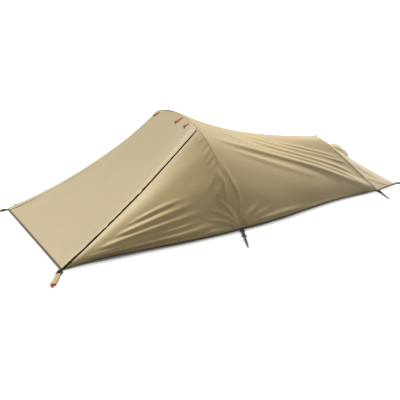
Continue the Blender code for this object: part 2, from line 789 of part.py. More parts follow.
def make_floor():
    """A tray of proofed cloth whose turned-up edge is sewn inside the walls."""
    clearance = FABRIC / 2 + FLOOR_THICKNESS / 2 + FLOOR_CLEARANCE
    rim = []
    for r in FLOOR_GUSSET_STATIONS:
        rim.append(inward(floor_rim(r), clearance))
    row = solve(lambda k: at_row(HOOP_SEAM, k).z - FLOOR_WALL_HEIGHT, 0.0, RIDGE_ROW)
    rim.append(inward(at_row(HOOP_SEAM, row), SLEEVE_RADIUS * (1 + SEAM_RISE) + clearance))
    for u in FLOOR_WALL_STATIONS:
        row = solve(lambda k, u=u: wall_point(u, k, False).z - FLOOR_WALL_HEIGHT, 0.0, RIDGE_ROW)
        rim.append(inward(wall_point(u, row, False), clearance))
    level = FLOOR_THICKNESS / 2
    head = Vector((floor_head(), rim[0].y, FLOOR_WALL_HEIGHT))
    foot = Vector((rim[-1].x + FLOOR_END_SLOPE, rim[-1].y + FLOOR_END_SLOPE, FLOOR_WALL_HEIGHT))
    rows = []
    for point in rim:
        turn = point.y + FLOOR_SIDE_SLOPE
        steps = [j / FLOOR_CELLS for j in range(FLOOR_CELLS + 1)]
        flat = [Vector((point.x, mix(turn, -turn, step), level)) for step in steps]
        rows.append([point, *flat, point * Vector((1, -1, 1))])
    cells = FLOOR_CELLS + 2
    for index, end in ((0, head), (len(rows), foot)):
        level_row = [Vector((end.x, mix(end.y, -end.y, j / cells), end.z)) for j in range(cells + 1)]
        rows.insert(index, level_row)
    sheet("floor_tray", rows, FLOOR_CLOTH, FLOOR_THICKNESS)


def inward(point, distance):
    return point + Vector((0, distance, 0))


# The net wall inside, in its own plane: x across the tent, y up the slope


def net_plane():
    foot = Vector((floor_head(), 0, FLOOR_WALL_HEIGHT))
    top = Vector((-NET_TOP, 0, NET_TOP_HEIGHT))
    return foot, (top - foot)


def net_half_width(share):
    """Half the width of the net wall at a share of its height."""
    foot, slope = net_plane()
    point = foot + slope * share
    row = solve(lambda v: gusset_at(point.x, v).z - point.z, 0.0, 1.0)
    side = -gusset_at(point.x, row).y
    return side - NET_SIDE_CLEARANCE


def gusset_at(x, v):
    r = solve(lambda k: gusset_point(k, v, False).x - x, 0.0, 1.0)
    return gusset_point(r, v, False)


def net_outline(inset, low, high):
    """The outline of the net wall drawn in by inset, between two heights up its slope."""
    length, samples = net_plane()[1].length, NET_SAMPLES
    right = []
    for k in range(samples + 1):
        y = mix(low, high, math.sin(math.pi / 2 * k / samples))
        share = y / length
        taper = (1 - (max(y - low, 0) / (high - low)) ** NET_ROUND) ** 0.5 if k < samples else 0.0
        right.append(((net_half_width(min(share, NET_WIDTH_KEPT)) - inset) * taper, y))
    left = [(-x, y) for x, y in reversed(right[:-1])]
    return right[:-1] + [(0.0, high)] + left


def make_net():
    foot, slope = net_plane()
    matrix = frame_matrix(foot, Vector((0, 1, 0)), Vector((0, 1, 0)).cross(slope))
    low = NET_THICKNESS / 2 + NET_FOOT_GAP
    border = NET_DOOR_BORDER
    outer = net_outline(0.0, low, slope.length)
    hole = net_outline(border, NET_DOOR_SILL, slope.length - border)
    leaf = net_outline(border + SEAM_GAP, NET_DOOR_SILL + SEAM_GAP, slope.length - border - SEAM_GAP)
    plate("net_wall", [outer, hole], NET_THICKNESS, NET_BLACK, matrix)
    plate("net_door", [leaf], NET_THICKNESS, NET_BLACK, matrix)


# Zips


def strip_rows(surface, stations, offset):
    """Rows of a strip that lies on a surface, raised along its normal."""
    rows = []
    for pairs in stations:
        rows.append([surface(a, b) + normal_of(surface, a, b) * offset for a, b in pairs])
    return rows


def make_zips():
    tape_lift = FABRIC / 2 + TAPE_GAP + TAPE_THICKNESS / 2
    flap_lift = FABRIC / 2 + FLAP_GAP + FLAP_THICKNESS / 2
    for name, side in (("near", 1), ("far", -1)):
        stations = []
        for k in range(STRIP_CELLS + 1):
            r = mix(TAPE_START, TAPE_END, k / STRIP_CELLS)
            depth = gusset_depth(r)
            width = min(TAPE_WIDTH, depth * TAPE_SHARE)
            tops = [1 - (GUSSET_ZIP_INSET + width * j / 2) / depth for j in range(3)]
            stations.append([(r, v) for v in tops])
        rows = strip_rows(gusset_point, stations, tape_lift)
        sheet(f"zip_tape_{name}", rows, ZIP_DARK, TAPE_THICKNESS, side)
        stations = []
        for k in range(DOOR_CELLS + 1):
            t = min(max(DOOR_SPLIT * k / DOOR_CELLS, FLAP_END), DOOR_SPLIT - FLAP_END)
            reach = abs(zip_point(t).y)
            edges = [-(1 + (FLAP_OVERHANG - FLAP_WIDTH * j / 2) / reach) for j in range(3)]
            stations.append([(t, q) for q in edges])
        rows = strip_rows(door_facet, stations, flap_lift)
        sheet(f"storm_flap_{name}", rows, FRONT_CLOTH, FLAP_THICKNESS, side)
        make_slider(name, side)


def slider_frame(side, t):
    """The slider's own axes at a place on the zip: X up the zip, Z out from the gusset."""
    tangent = (zip_point(t + 0.01) - zip_point(t - 0.01)).normalized()
    outward = normal_of(gusset_point, t, 0.9)
    outward = (outward - outward.project(tangent)).normalized()
    across = outward.cross(tangent)
    across = across if across.z < 0 else -across
    lift = FABRIC / 2 + TAPE_GAP + TAPE_THICKNESS + SLIDER_CLEARANCE + SLIDER_THICKNESS / 2
    origin = zip_point(t) + outward * lift + across * (GUSSET_ZIP_INSET + SLIDER_WIDTH / 2)
    outward = Matrix.Rotation(SLIDER_ROLL, 3, tangent) @ outward
    flip = Vector((1, side, 1))
    return origin * flip, tangent * flip, outward * flip


def make_slider(name, side):
    origin, tangent, outward = slider_frame(side, SLIDER_START)
    matrix = frame_matrix(origin, tangent, outward)
    nose, tail = SLIDER_LENGTH / 2, -SLIDER_LENGTH / 2
    half, waist, shoulder = SLIDER_WIDTH / 2, SLIDER_WAIST, SLIDER_SHOULDER
    outline = [(nose, half), (shoulder, waist), (tail, waist)]
    outline += [(x, -y) for x, y in reversed(outline)]
    plate(f"zip_slider_{name}", [outline], SLIDER_THICKNESS, SLIDER_METAL, matrix)
    lift = SLIDER_THICKNESS / 2 + SEAM_GAP + PULL_THICKNESS / 2
    pull_matrix = matrix @ Matrix.Translation((PULL_PIVOT, 0, lift))
    wide, slim = PULL_WIDTH / 2, PULL_WIDTH / 3
    outline = [(0, slim), (-PULL_LENGTH * PULL_WIDEST, wide), (-PULL_LENGTH, slim)]
    outline += [(x, -y) for x, y in reversed(outline)]
    plate(f"zip_pull_{name}", [outline], PULL_THICKNESS, CORD_RED, pull_matrix)


# Ties for the rolled door


def make_ties():
    for name, (t, q, skew, length) in TIES.items():
        top = door_point(t, q)
        normal = normal_of(door_point, t, q)
        down = door_point(t - SLOPE_STEP, q) - top
        matrix = frame_matrix(top, Matrix.Rotation(-math.radians(skew), 3, normal) @ down, normal)
        lift = TIE_LIFT
        half, end = TIE_WIDTH / 2, length - TIE_WIDTH / 2
        turn = [math.pi * (k / 4 - 0.5) for k in range(5)]
        outline = [(end + half * math.cos(a), half * math.sin(a)) for a in turn]
        outline += [(half - half * math.cos(a), -half * math.sin(a)) for a in turn]
        points = [matrix @ Vector((x, y, lift)) for x, y in outline]
        tube(f"tie_loop_{name}", points, TIE_CORD_RADIUS, CORD_RED, capped=False, closed=True, resolution=1)
        rise = lift + TIE_CORD_RADIUS + SEAM_GAP + TOGGLE_RADIUS
        place = matrix @ Matrix.Translation((length, 0, rise)) @ Matrix.Rotation(math.pi / 2, 4, "X")
        ends, shoulder = TOGGLE_LENGTH / 2, TOGGLE_LENGTH / 2 - TOGGLE_END_BEVEL
        profile = [(0, ends), (TOGGLE_END_RADIUS, ends), (TOGGLE_RADIUS, shoulder)]
        profile += [(radius, -height) for radius, height in reversed(profile)]
        turned(f"tie_toggle_{name}", profile, TOGGLE_DARK, place)


# Webbing, buckles and pegs at the corners


def anchor_matrices():
    """Each pegged corner's axes: X along its strap, Z up, on the ground."""
    places = {
        "head_near": Vector((-HEAD_REACH, -HEAD_WIDTH / 2, 0)),
        "middle_near": Vector((0, -HOOP_WIDTH / 2, 0)),
        "foot_near": Vector((FOOT_REACH, -FOOT_WIDTH / 2, 0)),
        "tip": Vector((TIP_REACH, 0, 0)),
    }
    for name in ("head", "middle", "foot"):
        places[f"{name}_far"] = places[f"{name}_near"] * Vector((1, -1, 1))
    matrices = {}
    for name, heading in ANCHOR_HEADINGS.items():
        matrices[name] = frame_matrix(places[name], Vector((*heading, 0)), Vector((0, 0, 1)))
    return matrices


UPRIGHT = Matrix.Rotation(math.pi / 2, 4, "X")


def buckle_outline():
    """Side view of the sewn tab and the buckle's two jaws."""
    low, high = WEBBING_GROUND_GAP, WEBBING_GROUND_GAP + WEBBING
    mid_low, mid_high = BUCKLE_HEIGHT - WEBBING / 2, BUCKLE_HEIGHT + WEBBING / 2
    inner_low, inner_high = mid_low - JAW_CLEARANCE, mid_high + JAW_CLEARANCE
    end = BUCKLE_START + BUCKLE_LENGTH
    root = BUCKLE_START + BUCKLE_ROOT
    return [
        (-TAB_UNDER_HEM, low),
        (TAB_FLAT, low),
        (TAB_TOP, mid_low),
        (BUCKLE_START, inner_low - BUCKLE_JAW),
        (end, inner_low - BUCKLE_JAW),
        (end, inner_low),
        (root, inner_low),
        (root, inner_high),
        (end, inner_high),
        (end, inner_high + BUCKLE_JAW),
        (BUCKLE_START, inner_high + BUCKLE_JAW),
        (TAB_TOP, mid_high),
        (TAB_FLAT, high),
        (-TAB_UNDER_HEM, high),
    ]


def strap_outlines(centre):
    """Side view of the strap: a strip that ends in a loop for the peg's cord."""
    start = BUCKLE_START + BUCKLE_LENGTH - STRAP_INSERT
    outer = LOOP_HOLE_RADIUS + WEBBING
    angle = math.asin(WEBBING / 2 / outer)
    sweep, steps = 2 * math.pi - 2 * angle, STRAP_LOOP_SAMPLES
    arc = [math.pi - angle - sweep * k / steps for k in range(steps + 1)]
    outline = [(start, BUCKLE_HEIGHT - WEBBING / 2), (start, BUCKLE_HEIGHT + WEBBING / 2)]
    outline += [(centre + outer * math.cos(a), BUCKLE_HEIGHT + outer * math.sin(a)) for a in arc]
    inner, sides = LOOP_HOLE_RADIUS, LOOP_HOLE_SIDES
    turn = [2 * math.pi * k / sides for k in range(sides)]
    hole = [(centre + inner * math.cos(a), BUCKLE_HEIGHT + inner * math.sin(a)) for a in turn]
    return [outline, hole]


def strap_end(name):
    return BUCKLE_START + BUCKLE_LENGTH + STRAP_REACH[name.split("_")[0]]


def cord_loop_mesh():
    """The cord loop that runs through a strap's end, in an anchor's axes about that end."""
    half, reach = PEG_CORD_WIDTH / 2, PEG_CORD_LENGTH
    turn_x, turn_y = PEG_CORD_TURN
    waist_x, waist_y = reach * PEG_CORD_WAIST[0], half * PEG_CORD_WAIST[1]
    path = [(0, -half), (0, -half / 3), (0, half / 3), (0, half), (turn_x, half + turn_y)]
    path += [(waist_x, waist_y), (reach, PEG_CORD_END), (reach, -PEG_CORD_END)]
    path += [(waist_x, -waist_y), (turn_x, -half - turn_y)]
    points = [Vector((x, y, -PEG_DROP * min(x / reach, 1))) for x, y in path]
    loop = tube("cord_loop", points, PEG_CORD_RADIUS, CORD_RED, capped=False, closed=True, resolution=1)
    return mesh_of(loop)


def peg_mesh(loop):
    """A tapered peg joined to its cord loop."""
    profile = [(0, PEG_LENGTH), (PEG_TIP_RADIUS, PEG_LENGTH - PEG_POINT_LENGTH)]
    profile += [(PEG_MIDDLE_RADIUS, PEG_LENGTH / 2), (PEG_RADIUS, PEG_HEAD_LENGTH), (PEG_RADIUS, 0), (0, 0)]
    turn = Matrix.Rotation(math.pi / 2, 4, "Y")
    place = Matrix.Translation((PEG_CORD_LENGTH - PEG_OVERLAP, 0, -PEG_DROP)) @ turn
    shaft = turned("peg_shaft", profile, PEG_METAL, place)
    joined = add_object("peg_joined", loop.copy(), PEG_METAL)
    union = joined.modifiers.new("Join", "BOOLEAN")
    union.operation = "UNION"
    union.object = shaft
    data = mesh_of(joined)
    bpy.data.objects.remove(shaft, do_unlink=True)
    data.materials.clear()
    data.materials.append(PEG_METAL)
    return data


def make_anchors():
    loop = cord_loop_mesh()
    peg = peg_mesh(loop)
    for name, matrix in anchor_matrices().items():
        end = strap_end(name)
        webbing = STRAP_TAN if name.startswith("head") else WEBBING_BLACK
        plate(f"buckle_{name}", [buckle_outline()], BUCKLE_WIDTH, WEBBING_BLACK, matrix @ UPRIGHT)
        plate(f"strap_{name}", strap_outlines(end), WEBBING_WIDTH, webbing, matrix @ UPRIGHT)
        if name == LOOSE_CORNER:
            last = add_object(f"cord_loop_{name}", loop, CORD_RED)
        else:
            last = add_object(f"peg_{name}", peg, PEG_METAL)
        last.matrix_world = matrix @ Matrix.Translation((end, 0, BUCKLE_HEIGHT))


clear_scene()
TENT = new_collection("one_person_tent")
CUTTERS = new_collection("cutters")
FRONT_CLOTH = material("Front cloth, light tan", (0.60, 0.51, 0.34), 0.55)
WALL_CLOTH = material("Side cloth, tan", (0.47, 0.39, 0.24), 0.55)
ROOF_CLOTH = material("Foot cloth, light tan", (0.62, 0.54, 0.37), 0.55)
FLOOR_CLOTH = material("Floor cloth, grey", (0.16, 0.16, 0.15), 0.7)
NET_BLACK = material("Insect net, black", (0.03, 0.03, 0.03), 0.8)
POLE_GREY = material("Pole, dark grey", (0.10, 0.10, 0.11), 0.4)
STEEL = material("Ferrule, steel", (0.55, 0.55, 0.56), 0.3, 1.0)
ZIP_DARK = material("Zip tape, dark olive", (0.06, 0.05, 0.03), 0.8)
SLIDER_METAL = material("Zip slider, dark metal", (0.12, 0.12, 0.12), 0.4, 1.0)
WEBBING_BLACK = material("Webbing and buckle, black", (0.02, 0.02, 0.02), 0.6)
STRAP_TAN = material("Strap, tan webbing", (0.52, 0.42, 0.27), 0.8)
CORD_RED = material("Cord, red", (0.65, 0.07, 0.05), 0.7)
TOGGLE_DARK = material("Toggle, dark plastic", (0.03, 0.025, 0.02), 0.45)
PEG_METAL = material("Peg, anodised light grey", (0.62, 0.60, 0.54), 0.35, 1.0)
RIM_GREY = material("Vent rim binding, light grey", (0.55, 0.55, 0.53), 0.7)

make_hoops()
make_rear_loop()
make_front()
make_rear()
make_vent()
make_floor()
make_net()
make_zips()
make_ties()
make_anchors()
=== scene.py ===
import json
import math

import bpy
import numpy as np
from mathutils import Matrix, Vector


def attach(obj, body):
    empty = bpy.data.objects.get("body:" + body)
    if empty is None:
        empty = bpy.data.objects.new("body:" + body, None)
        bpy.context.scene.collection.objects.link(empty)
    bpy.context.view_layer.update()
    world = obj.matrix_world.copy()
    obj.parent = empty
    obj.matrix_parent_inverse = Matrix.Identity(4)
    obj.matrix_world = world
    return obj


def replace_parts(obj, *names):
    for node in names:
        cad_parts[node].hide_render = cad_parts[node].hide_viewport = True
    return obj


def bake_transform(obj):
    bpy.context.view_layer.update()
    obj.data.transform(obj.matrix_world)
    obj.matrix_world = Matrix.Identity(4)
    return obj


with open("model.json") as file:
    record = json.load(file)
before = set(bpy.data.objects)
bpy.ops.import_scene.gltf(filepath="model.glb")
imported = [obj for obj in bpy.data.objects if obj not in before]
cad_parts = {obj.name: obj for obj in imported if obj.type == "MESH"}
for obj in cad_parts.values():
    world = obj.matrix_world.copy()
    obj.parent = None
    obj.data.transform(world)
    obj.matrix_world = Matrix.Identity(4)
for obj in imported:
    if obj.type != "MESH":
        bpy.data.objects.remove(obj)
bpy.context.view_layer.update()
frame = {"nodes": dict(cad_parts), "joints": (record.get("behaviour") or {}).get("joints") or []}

# Sizes of the solids that the cloth follows, in metres

HEAD_REACH, FOOT_REACH, TIP_REACH = 1.17, 1.57, 1.91
HEAD_WIDTH, HOOP_WIDTH, FOOT_WIDTH, TIP_WIDTH = 1.37, 1.05, 0.28, 0.05
HOOP_HEIGHT, HOOP_LEAN, HOOP_SQUARENESS = 0.70, 0.23, 2.75
REAR_PEAK_REACH, REAR_PEAK_HEIGHT, REAR_SQUARENESS = 1.00, 0.46, 2.5
POLE_RADIUS, REAR_POLE_RADIUS, POLE_CLEARANCE = 0.00425, 0.0035, 0.0004
FERRULE_WALL, FERRULE_CLEARANCE, SLEEVE_WALL, TUBE_SIDES = 0.00055, 0.0003, 0.0008, 8
SEAM_RISE, SEAM_GAP, FABRIC = 0.75, 0.0005, 0.002
CLOTH_TILT, FOOT_TILT = math.radians(30), math.radians(79)
HEM_HEIGHT = 0.0034
DOOR_CROWN_POWER = 2.0
ZIP_SAG_IN, ZIP_SAG_DOWN = 0.030, 0.045
FRONT_HEM_BOW, FRONT_HEM_SKEW = 0.004, -0.050
REAR_HEM_BOW, REAR_HEM_SKEW = 0.028, 0.075
RIDGE_SAG, RIDGE_SAG_SKEW, FOOT_SAG = 0.055, 0.35, 0.016
ZIP_INSET, GUSSET_ZIP_INSET, GUSSET_START = 0.003, 0.004, 0.012
FLAP_WIDTH = 0.045
RIDGE_ROW, ZIP_ROW, ROW_CROWDING = 24, 14, 1.25
LOW_REAR_SHARE = 0.15
FLOOR_WALL_HEIGHT = 0.060

# What follows from those sizes, to a hundredth of a millimetre

EYE_FACTOR = math.cos(math.pi / TUBE_SIDES)
FERRULE_BORE = POLE_RADIUS / EYE_FACTOR + POLE_CLEARANCE
SLEEVE_BORE = (FERRULE_BORE + FERRULE_WALL + FERRULE_CLEARANCE) / EYE_FACTOR
REAR_SLEEVE_BORE = (REAR_POLE_RADIUS + POLE_CLEARANCE) / EYE_FACTOR
SLEEVE_RADIUS = round(SLEEVE_BORE + SLEEVE_WALL, 5)
REAR_SLEEVE_RADIUS = round(REAR_SLEEVE_BORE + SLEEVE_WALL, 5)


def seam_offset(radius, tilt):
    """How far off a hoop's plane a cloth edge stops so that it clears the sleeve, for cloth at a tilt."""
    rise, clear = radius * SEAM_RISE, radius + SEAM_GAP
    if tilt > math.pi / 4:
        return (clear + FABRIC / 2 - rise * math.cos(tilt)) / math.sin(tilt)
    inner = rise - FABRIC / 2 * math.cos(tilt)
    return math.sqrt(clear * clear - inner * inner) + FABRIC / 2 * math.sin(tilt)


HOOP_OFFSET = round(seam_offset(SLEEVE_BORE + SLEEVE_WALL, CLOTH_TILT), 5)
REAR_OFFSET = round(seam_offset(REAR_SLEEVE_BORE + SLEEVE_WALL, CLOTH_TILT), 5)
FOOT_OFFSET = round(seam_offset(REAR_SLEEVE_BORE + SLEEVE_WALL, FOOT_TILT), 5)

# Sizes of what is only here

CLOTH, THIN_CLOTH, TRIM_CLOTH = 0.0011, 0.0008, 0.0010
COVER = 0.0012
CELL = 0.0105
STITCH_PITCH, STITCH_RADIUS, STITCH_SHARE = 0.0052, 0.00045, 0.62
WRAPS = (0.34, 0.67, 1.0)
RIPPLE_WAVES = 9
UP = (0, 0, 1)
HINGE = next(joint["pos_m"] for joint in frame["joints"] if joint["name"] == "door_lift")

# Small helpers


def mix(a, b, t):
    return a * (1 - t) + b * t


def smooth(low, high, value):
    t = np.clip((value - low) / (high - low), 0.0, 1.0)
    return t * t * (3 - 2 * t)


def hump(value, centre, width):
    return np.exp(-(((value - centre) / width) ** 2))


def unit(v):
    v = np.asarray(v, float)
    return v / np.maximum(np.linalg.norm(v, axis=-1, keepdims=True), 1e-12)


def dot(a, b):
    return (a * b).sum(-1)


def vec(x, y, z):
    return np.array([x, y, z], float)


def on_ground(p):
    p = np.array(p, float)
    p[..., 2] = np.maximum(p[..., 2], HEM_HEIGHT)
    return p


# The two hoops as smooth arches. A row is a place along an arch: 0 near foot, 24 top, 48 far foot.


def row_share(row):
    return 1 - (1 - np.asarray(row, float) / RIDGE_ROW) ** ROW_CROWDING


def rear_share(row):
    share = row_share(row)
    return LOW_REAR_SHARE * share + (1 - LOW_REAR_SHARE) * share**3


class Arch:
    def __init__(self, half, height, squareness, foot_x, lean, spread, normal, radius):
        angle = np.linspace(0, math.pi / 2, 2401)
        across = np.clip(np.cos(angle), 0, 1) ** (2 / squareness)
        across[-1] = 0
        rise = np.sin(angle) ** (2 / squareness)
        self.points = np.stack([foot_x - lean * rise, -half * across, height * rise], -1)
        steps = np.linalg.norm(np.diff(self.points, axis=0), axis=1)
        self.lengths = np.concatenate([[0], np.cumsum(steps)])
        self.length = self.lengths[-1]
        self.lengths /= self.length
        self.spread, self.normal, self.radius = spread, unit(normal), radius

    def at(self, row):
        row = np.clip(np.asarray(row, float), 0, 2 * RIDGE_ROW)
        far = row > RIDGE_ROW
        share = self.spread(np.where(far, 2 * RIDGE_ROW - row, row))
        p = np.stack([np.interp(share, self.lengths, self.points[:, k]) for k in range(3)], -1)
        p[..., 1] = np.where(far, -p[..., 1], p[..., 1])
        return p

    def out(self, row, step=0.05):
        along = unit(self.at(np.asarray(row, float) + step) - self.at(np.asarray(row, float) - step))
        return unit(np.cross(self.normal, along))

    def seam(self, row):
        return self.at(row) + self.out(row) * (self.radius * SEAM_RISE)

    def parting(self, row, towards, lift=COVER):
        """Where taut cloth leaves the sleeve in a direction, and how far round the sleeve that is."""
        centre, out = self.at(row), self.out(row)
        away = self.normal * np.sign(dot(towards, self.normal))[..., None]
        angle = np.clip(np.arctan2(-dot(towards, out), dot(towards, away)), 0.0, 1.5)[..., None]
        return self.round(centre, out, away, angle, lift), angle, centre, out, away

    def round(self, centre, out, away, angle, lift=COVER):
        return centre + (self.radius + lift) * (np.cos(angle) * out + np.sin(angle) * away)


HOOP = Arch(
    HOOP_WIDTH / 2 - SLEEVE_RADIUS, HOOP_HEIGHT - SLEEVE_RADIUS, HOOP_SQUARENESS, 0.0, HOOP_LEAN,
    row_share, (HOOP_HEIGHT, 0, HOOP_LEAN), SLEEVE_RADIUS,
)
REAR = Arch(
    FOOT_WIDTH / 2 - REAR_SLEEVE_RADIUS, REAR_PEAK_HEIGHT - REAR_SLEEVE_RADIUS, REAR_SQUARENESS, FOOT_REACH,
    FOOT_REACH - REAR_PEAK_REACH, rear_share, (REAR_PEAK_HEIGHT, 0, FOOT_REACH - REAR_PEAK_REACH),
    REAR_SLEEVE_RADIUS,
)

HEAD_CORNER = vec(-HEAD_REACH, -HEAD_WIDTH / 2, HEM_HEIGHT)
ZIP_SEAM = HOOP.seam(ZIP_ROW)
ZIP_TOP = ZIP_SEAM - HOOP.normal * HOOP_OFFSET
ZIP_CHORD = ZIP_TOP - HEAD_CORNER
ZIP_SAG = vec(0, ZIP_SAG_IN, -ZIP_SAG_DOWN)
ZIP_SAG = ZIP_SAG - ZIP_CHORD * dot(ZIP_SAG, ZIP_CHORD) / dot(ZIP_CHORD, ZIP_CHORD)
SEAM_ROWS = np.linspace(0, RIDGE_ROW, 400)
SEAM_LINE = HOOP.seam(SEAM_ROWS)
ZIP_LENGTH = float(np.linalg.norm(ZIP_CHORD))


def column(values):
    return np.asarray(values, float)[..., None]


def hem_bow(share, bow, skew):
    return column(bow + skew * (2 * np.asarray(share, float) - 1)) * vec(0, 1, 0)


def gusset(r, v):
    """Near gusset: r from the head corner to the hoop, v from the hem to the zip."""
    r, v = np.broadcast_arrays(np.asarray(r, float), np.asarray(v, float))
    row = v * ZIP_ROW
    end = on_ground(HOOP.seam(row) - HOOP.normal * HOOP_OFFSET)
    hem, sag = column((1 - v) ** 2), column(v * v) * ZIP_SAG
    leaving = hem * hem_bow(1.0, FRONT_HEM_BOW, FRONT_HEM_SKEW) + sag
    parting = HOOP.parting(row, HEAD_CORNER - end + 4 * leaving)[0]
    bend = hem * hem_bow(r, FRONT_HEM_BOW, FRONT_HEM_SKEW) + sag
    point = mix(HEAD_CORNER, end, column(r)) + bend * column(4 * r * (1 - r))
    return on_ground(point + (parting - end) * column(r**5))


def gusset_wrap(v, share):
    """The gusset's last strip, from where it parts from the sleeve, 0, to the seam on its crest, 1."""
    row = np.asarray(v, float) * ZIP_ROW
    end = on_ground(HOOP.seam(row) - HOOP.normal * HOOP_OFFSET)
    bend = column((1 - v) ** 2) * hem_bow(1.0, FRONT_HEM_BOW, FRONT_HEM_SKEW) + column(v * v) * ZIP_SAG
    _, angle, centre, out, away = HOOP.parting(row, HEAD_CORNER - end + 4 * bend)
    return on_ground(HOOP.round(centre, out, away, angle * (1 - share)))


def front_edge(t):
    return HEAD_CORNER + ZIP_CHORD * column(t) + ZIP_SAG * column(4 * t * (1 - t))


def front_plain(t, q):
    edge = front_edge(t)
    width = np.abs(np.clip(q, -1, 1) * ZIP_TOP[1])
    height = np.interp(width, -SEAM_LINE[::-1, 1], SEAM_LINE[::-1, 2])
    rise = (height - ZIP_SEAM[2]) * t**DOOR_CROWN_POWER
    x = edge[..., 0] - HOOP_LEAN / HOOP_HEIGHT * rise
    return np.stack([x, -q * edge[..., 1], edge[..., 2] + rise], -1)


def front_parting(q):
    row = np.interp(np.abs(q * ZIP_TOP[1]), -SEAM_LINE[::-1, 1], SEAM_ROWS[::-1])
    row = np.where(q > 0, 2 * RIDGE_ROW - row, row)
    one = np.ones_like(q)
    return HOOP.parting(row, front_plain(one * 0.97, q) - front_plain(one, q))


def front(t, q):
    """Front slope: t from the head hem to the hoop, q from -1 near to 1 far."""
    t, q = np.broadcast_arrays(np.asarray(t, float), np.asarray(q, float))
    end = front_plain(np.ones_like(q), q)
    return on_ground(front_plain(t, q) + (front_parting(q)[0] - end) * column(t**5))


def front_wrap(q, share):
    _, angle, centre, out, away = front_parting(np.asarray(q, float))
    return HOOP.round(centre, out, away, angle * (1 - share))


def wall_parts(row):
    v = column(row_share(np.minimum(row, RIDGE_ROW)))
    start = on_ground(HOOP.seam(row) + HOOP.normal * HOOP_OFFSET)
    end = on_ground(REAR.seam(row) - REAR.normal * REAR_OFFSET)
    hem = (1 - v) ** 2
    sag = v * v * vec(0, 0, -RIDGE_SAG)
    at_start = hem * hem_bow(0.0, REAR_HEM_BOW, REAR_HEM_SKEW) + sag * (1 + RIDGE_SAG_SKEW)
    at_end = hem * hem_bow(1.0, REAR_HEM_BOW, REAR_HEM_SKEW) + sag * (1 - RIDGE_SAG_SKEW)
    first = HOOP.parting(row, end - start + 4 * at_start)
    last = REAR.parting(row, start - end + 4 * at_end)
    return start, end, hem, sag, first, last


def wall(u, row):
    """Near rear wall: u from the main hoop to the rear hoop, row from the hem to the ridge."""
    u, row = np.broadcast_arrays(np.asarray(u, float), np.asarray(row, float))
    start, end, hem, sag, first, last = wall_parts(row)
    bow = column(4 * u * (1 - u))
    hem = hem * hem_bow(u, REAR_HEM_BOW, REAR_HEM_SKEW)
    point = mix(start, end, column(u)) + bow * (hem + sag * (1 + RIDGE_SAG_SKEW * column(1 - 2 * u)))
    point = point + (first[0] - start) * column((1 - u) ** 5) + (last[0] - end) * column(u**5)
    return on_ground(point)


def wall_wrap(row, share, at_rear):
    parts = wall_parts(np.asarray(row, float))
    _, angle, centre, out, away = parts[5 if at_rear else 4]
    arch = REAR if at_rear else HOOP
    return on_ground(arch.round(centre, out, away, angle * (1 - share)))


def foot_back(row):
    share = np.where(row <= RIDGE_ROW, rear_share(np.minimum(row, RIDGE_ROW)) / 2,
                     1 - rear_share(2 * RIDGE_ROW - np.maximum(row, RIDGE_ROW)) / 2)
    across = -TIP_WIDTH / 2 * np.cos(math.pi * share)
    return np.stack([np.full_like(across, TIP_REACH), across, np.full_like(across, HEM_HEIGHT)], -1)


def foot(s, row):
    """Foot panel: s from the rear hoop to the tip, row from the near hem over the top to the far hem."""
    s, row = np.broadcast_arrays(np.asarray(s, float), np.asarray(row, float))
    back = foot_back(row)
    start = on_ground(REAR.seam(row) + REAR.normal * FOOT_OFFSET)
    parting = REAR.parting(row, back - start)[0]
    point = mix(start, back, column(s)) + (parting - start) * column((1 - s) ** 5)
    drop = FOOT_SAG * 4 * s * (1 - s) * (start[..., 2] - HEM_HEIGHT) / REAR_PEAK_HEIGHT
    return on_ground(point - column(drop) * vec(0, 0, 1))


def foot_wrap(row, share):
    row = np.asarray(row, float)
    start = on_ground(REAR.seam(row) + REAR.normal * FOOT_OFFSET)
    _, angle, centre, out, away = REAR.parting(row, foot_back(row) - start)
    return on_ground(REAR.round(centre, out, away, angle * (1 - share)))


# Folds


def grid_normals(grid, towards):
    """Unit normals of a grid of points, on the side that a direction names."""
    n = unit(np.cross(np.gradient(grid, axis=0), np.gradient(grid, axis=1)))
    if dot(n, np.asarray(towards, float)).mean() < 0:
        n = -n
    return n


def route(surface, pairs, steps=24):
    """Points on a surface along a smooth line through pairs of its parameters."""
    pairs = np.asarray(pairs, float)
    place = np.linspace(0, len(pairs) - 1, steps)
    a = np.interp(place, range(len(pairs)), pairs[:, 0])
    b = np.interp(place, range(len(pairs)), pairs[:, 1])
    kernel = np.ones(5) / 5
    a = np.convolve(np.pad(a, 2, "edge"), kernel, "valid")
    b = np.convolve(np.pad(b, 2, "edge"), kernel, "valid")
    return surface(a, b)


def along_and_off(grid, line):
    """For each point of a grid: how far along a line it lies, from 0 to 1, and how far off it."""
    best = np.full(grid.shape[:-1], 1e9)
    place = np.zeros(grid.shape[:-1])
    for k, (a, b) in enumerate(zip(line, line[1:])):
        d = b - a
        t = np.clip(dot(grid - a, d) / max(dot(d, d), 1e-12), 0, 1)
        off = np.linalg.norm(grid - a - t[..., None] * d, axis=-1)
        nearer = off < best
        best = np.where(nearer, off, best)
        place = np.where(nearer, (k + t) / (len(line) - 1), place)
    return place, best


def ridge(grid, surface, fold):
    """How far one fold lifts each point. A fold is its pairs, height, half width and soft ends."""
    pairs, height, width, rise, fall = fold
    place, off = along_and_off(grid, route(surface, pairs))
    window = smooth(0, rise, place) * (1 - smooth(1 - fall, 1, place))
    spread = width * (0.75 + 0.5 * place)
    return height * window * hump(off, 0, spread)


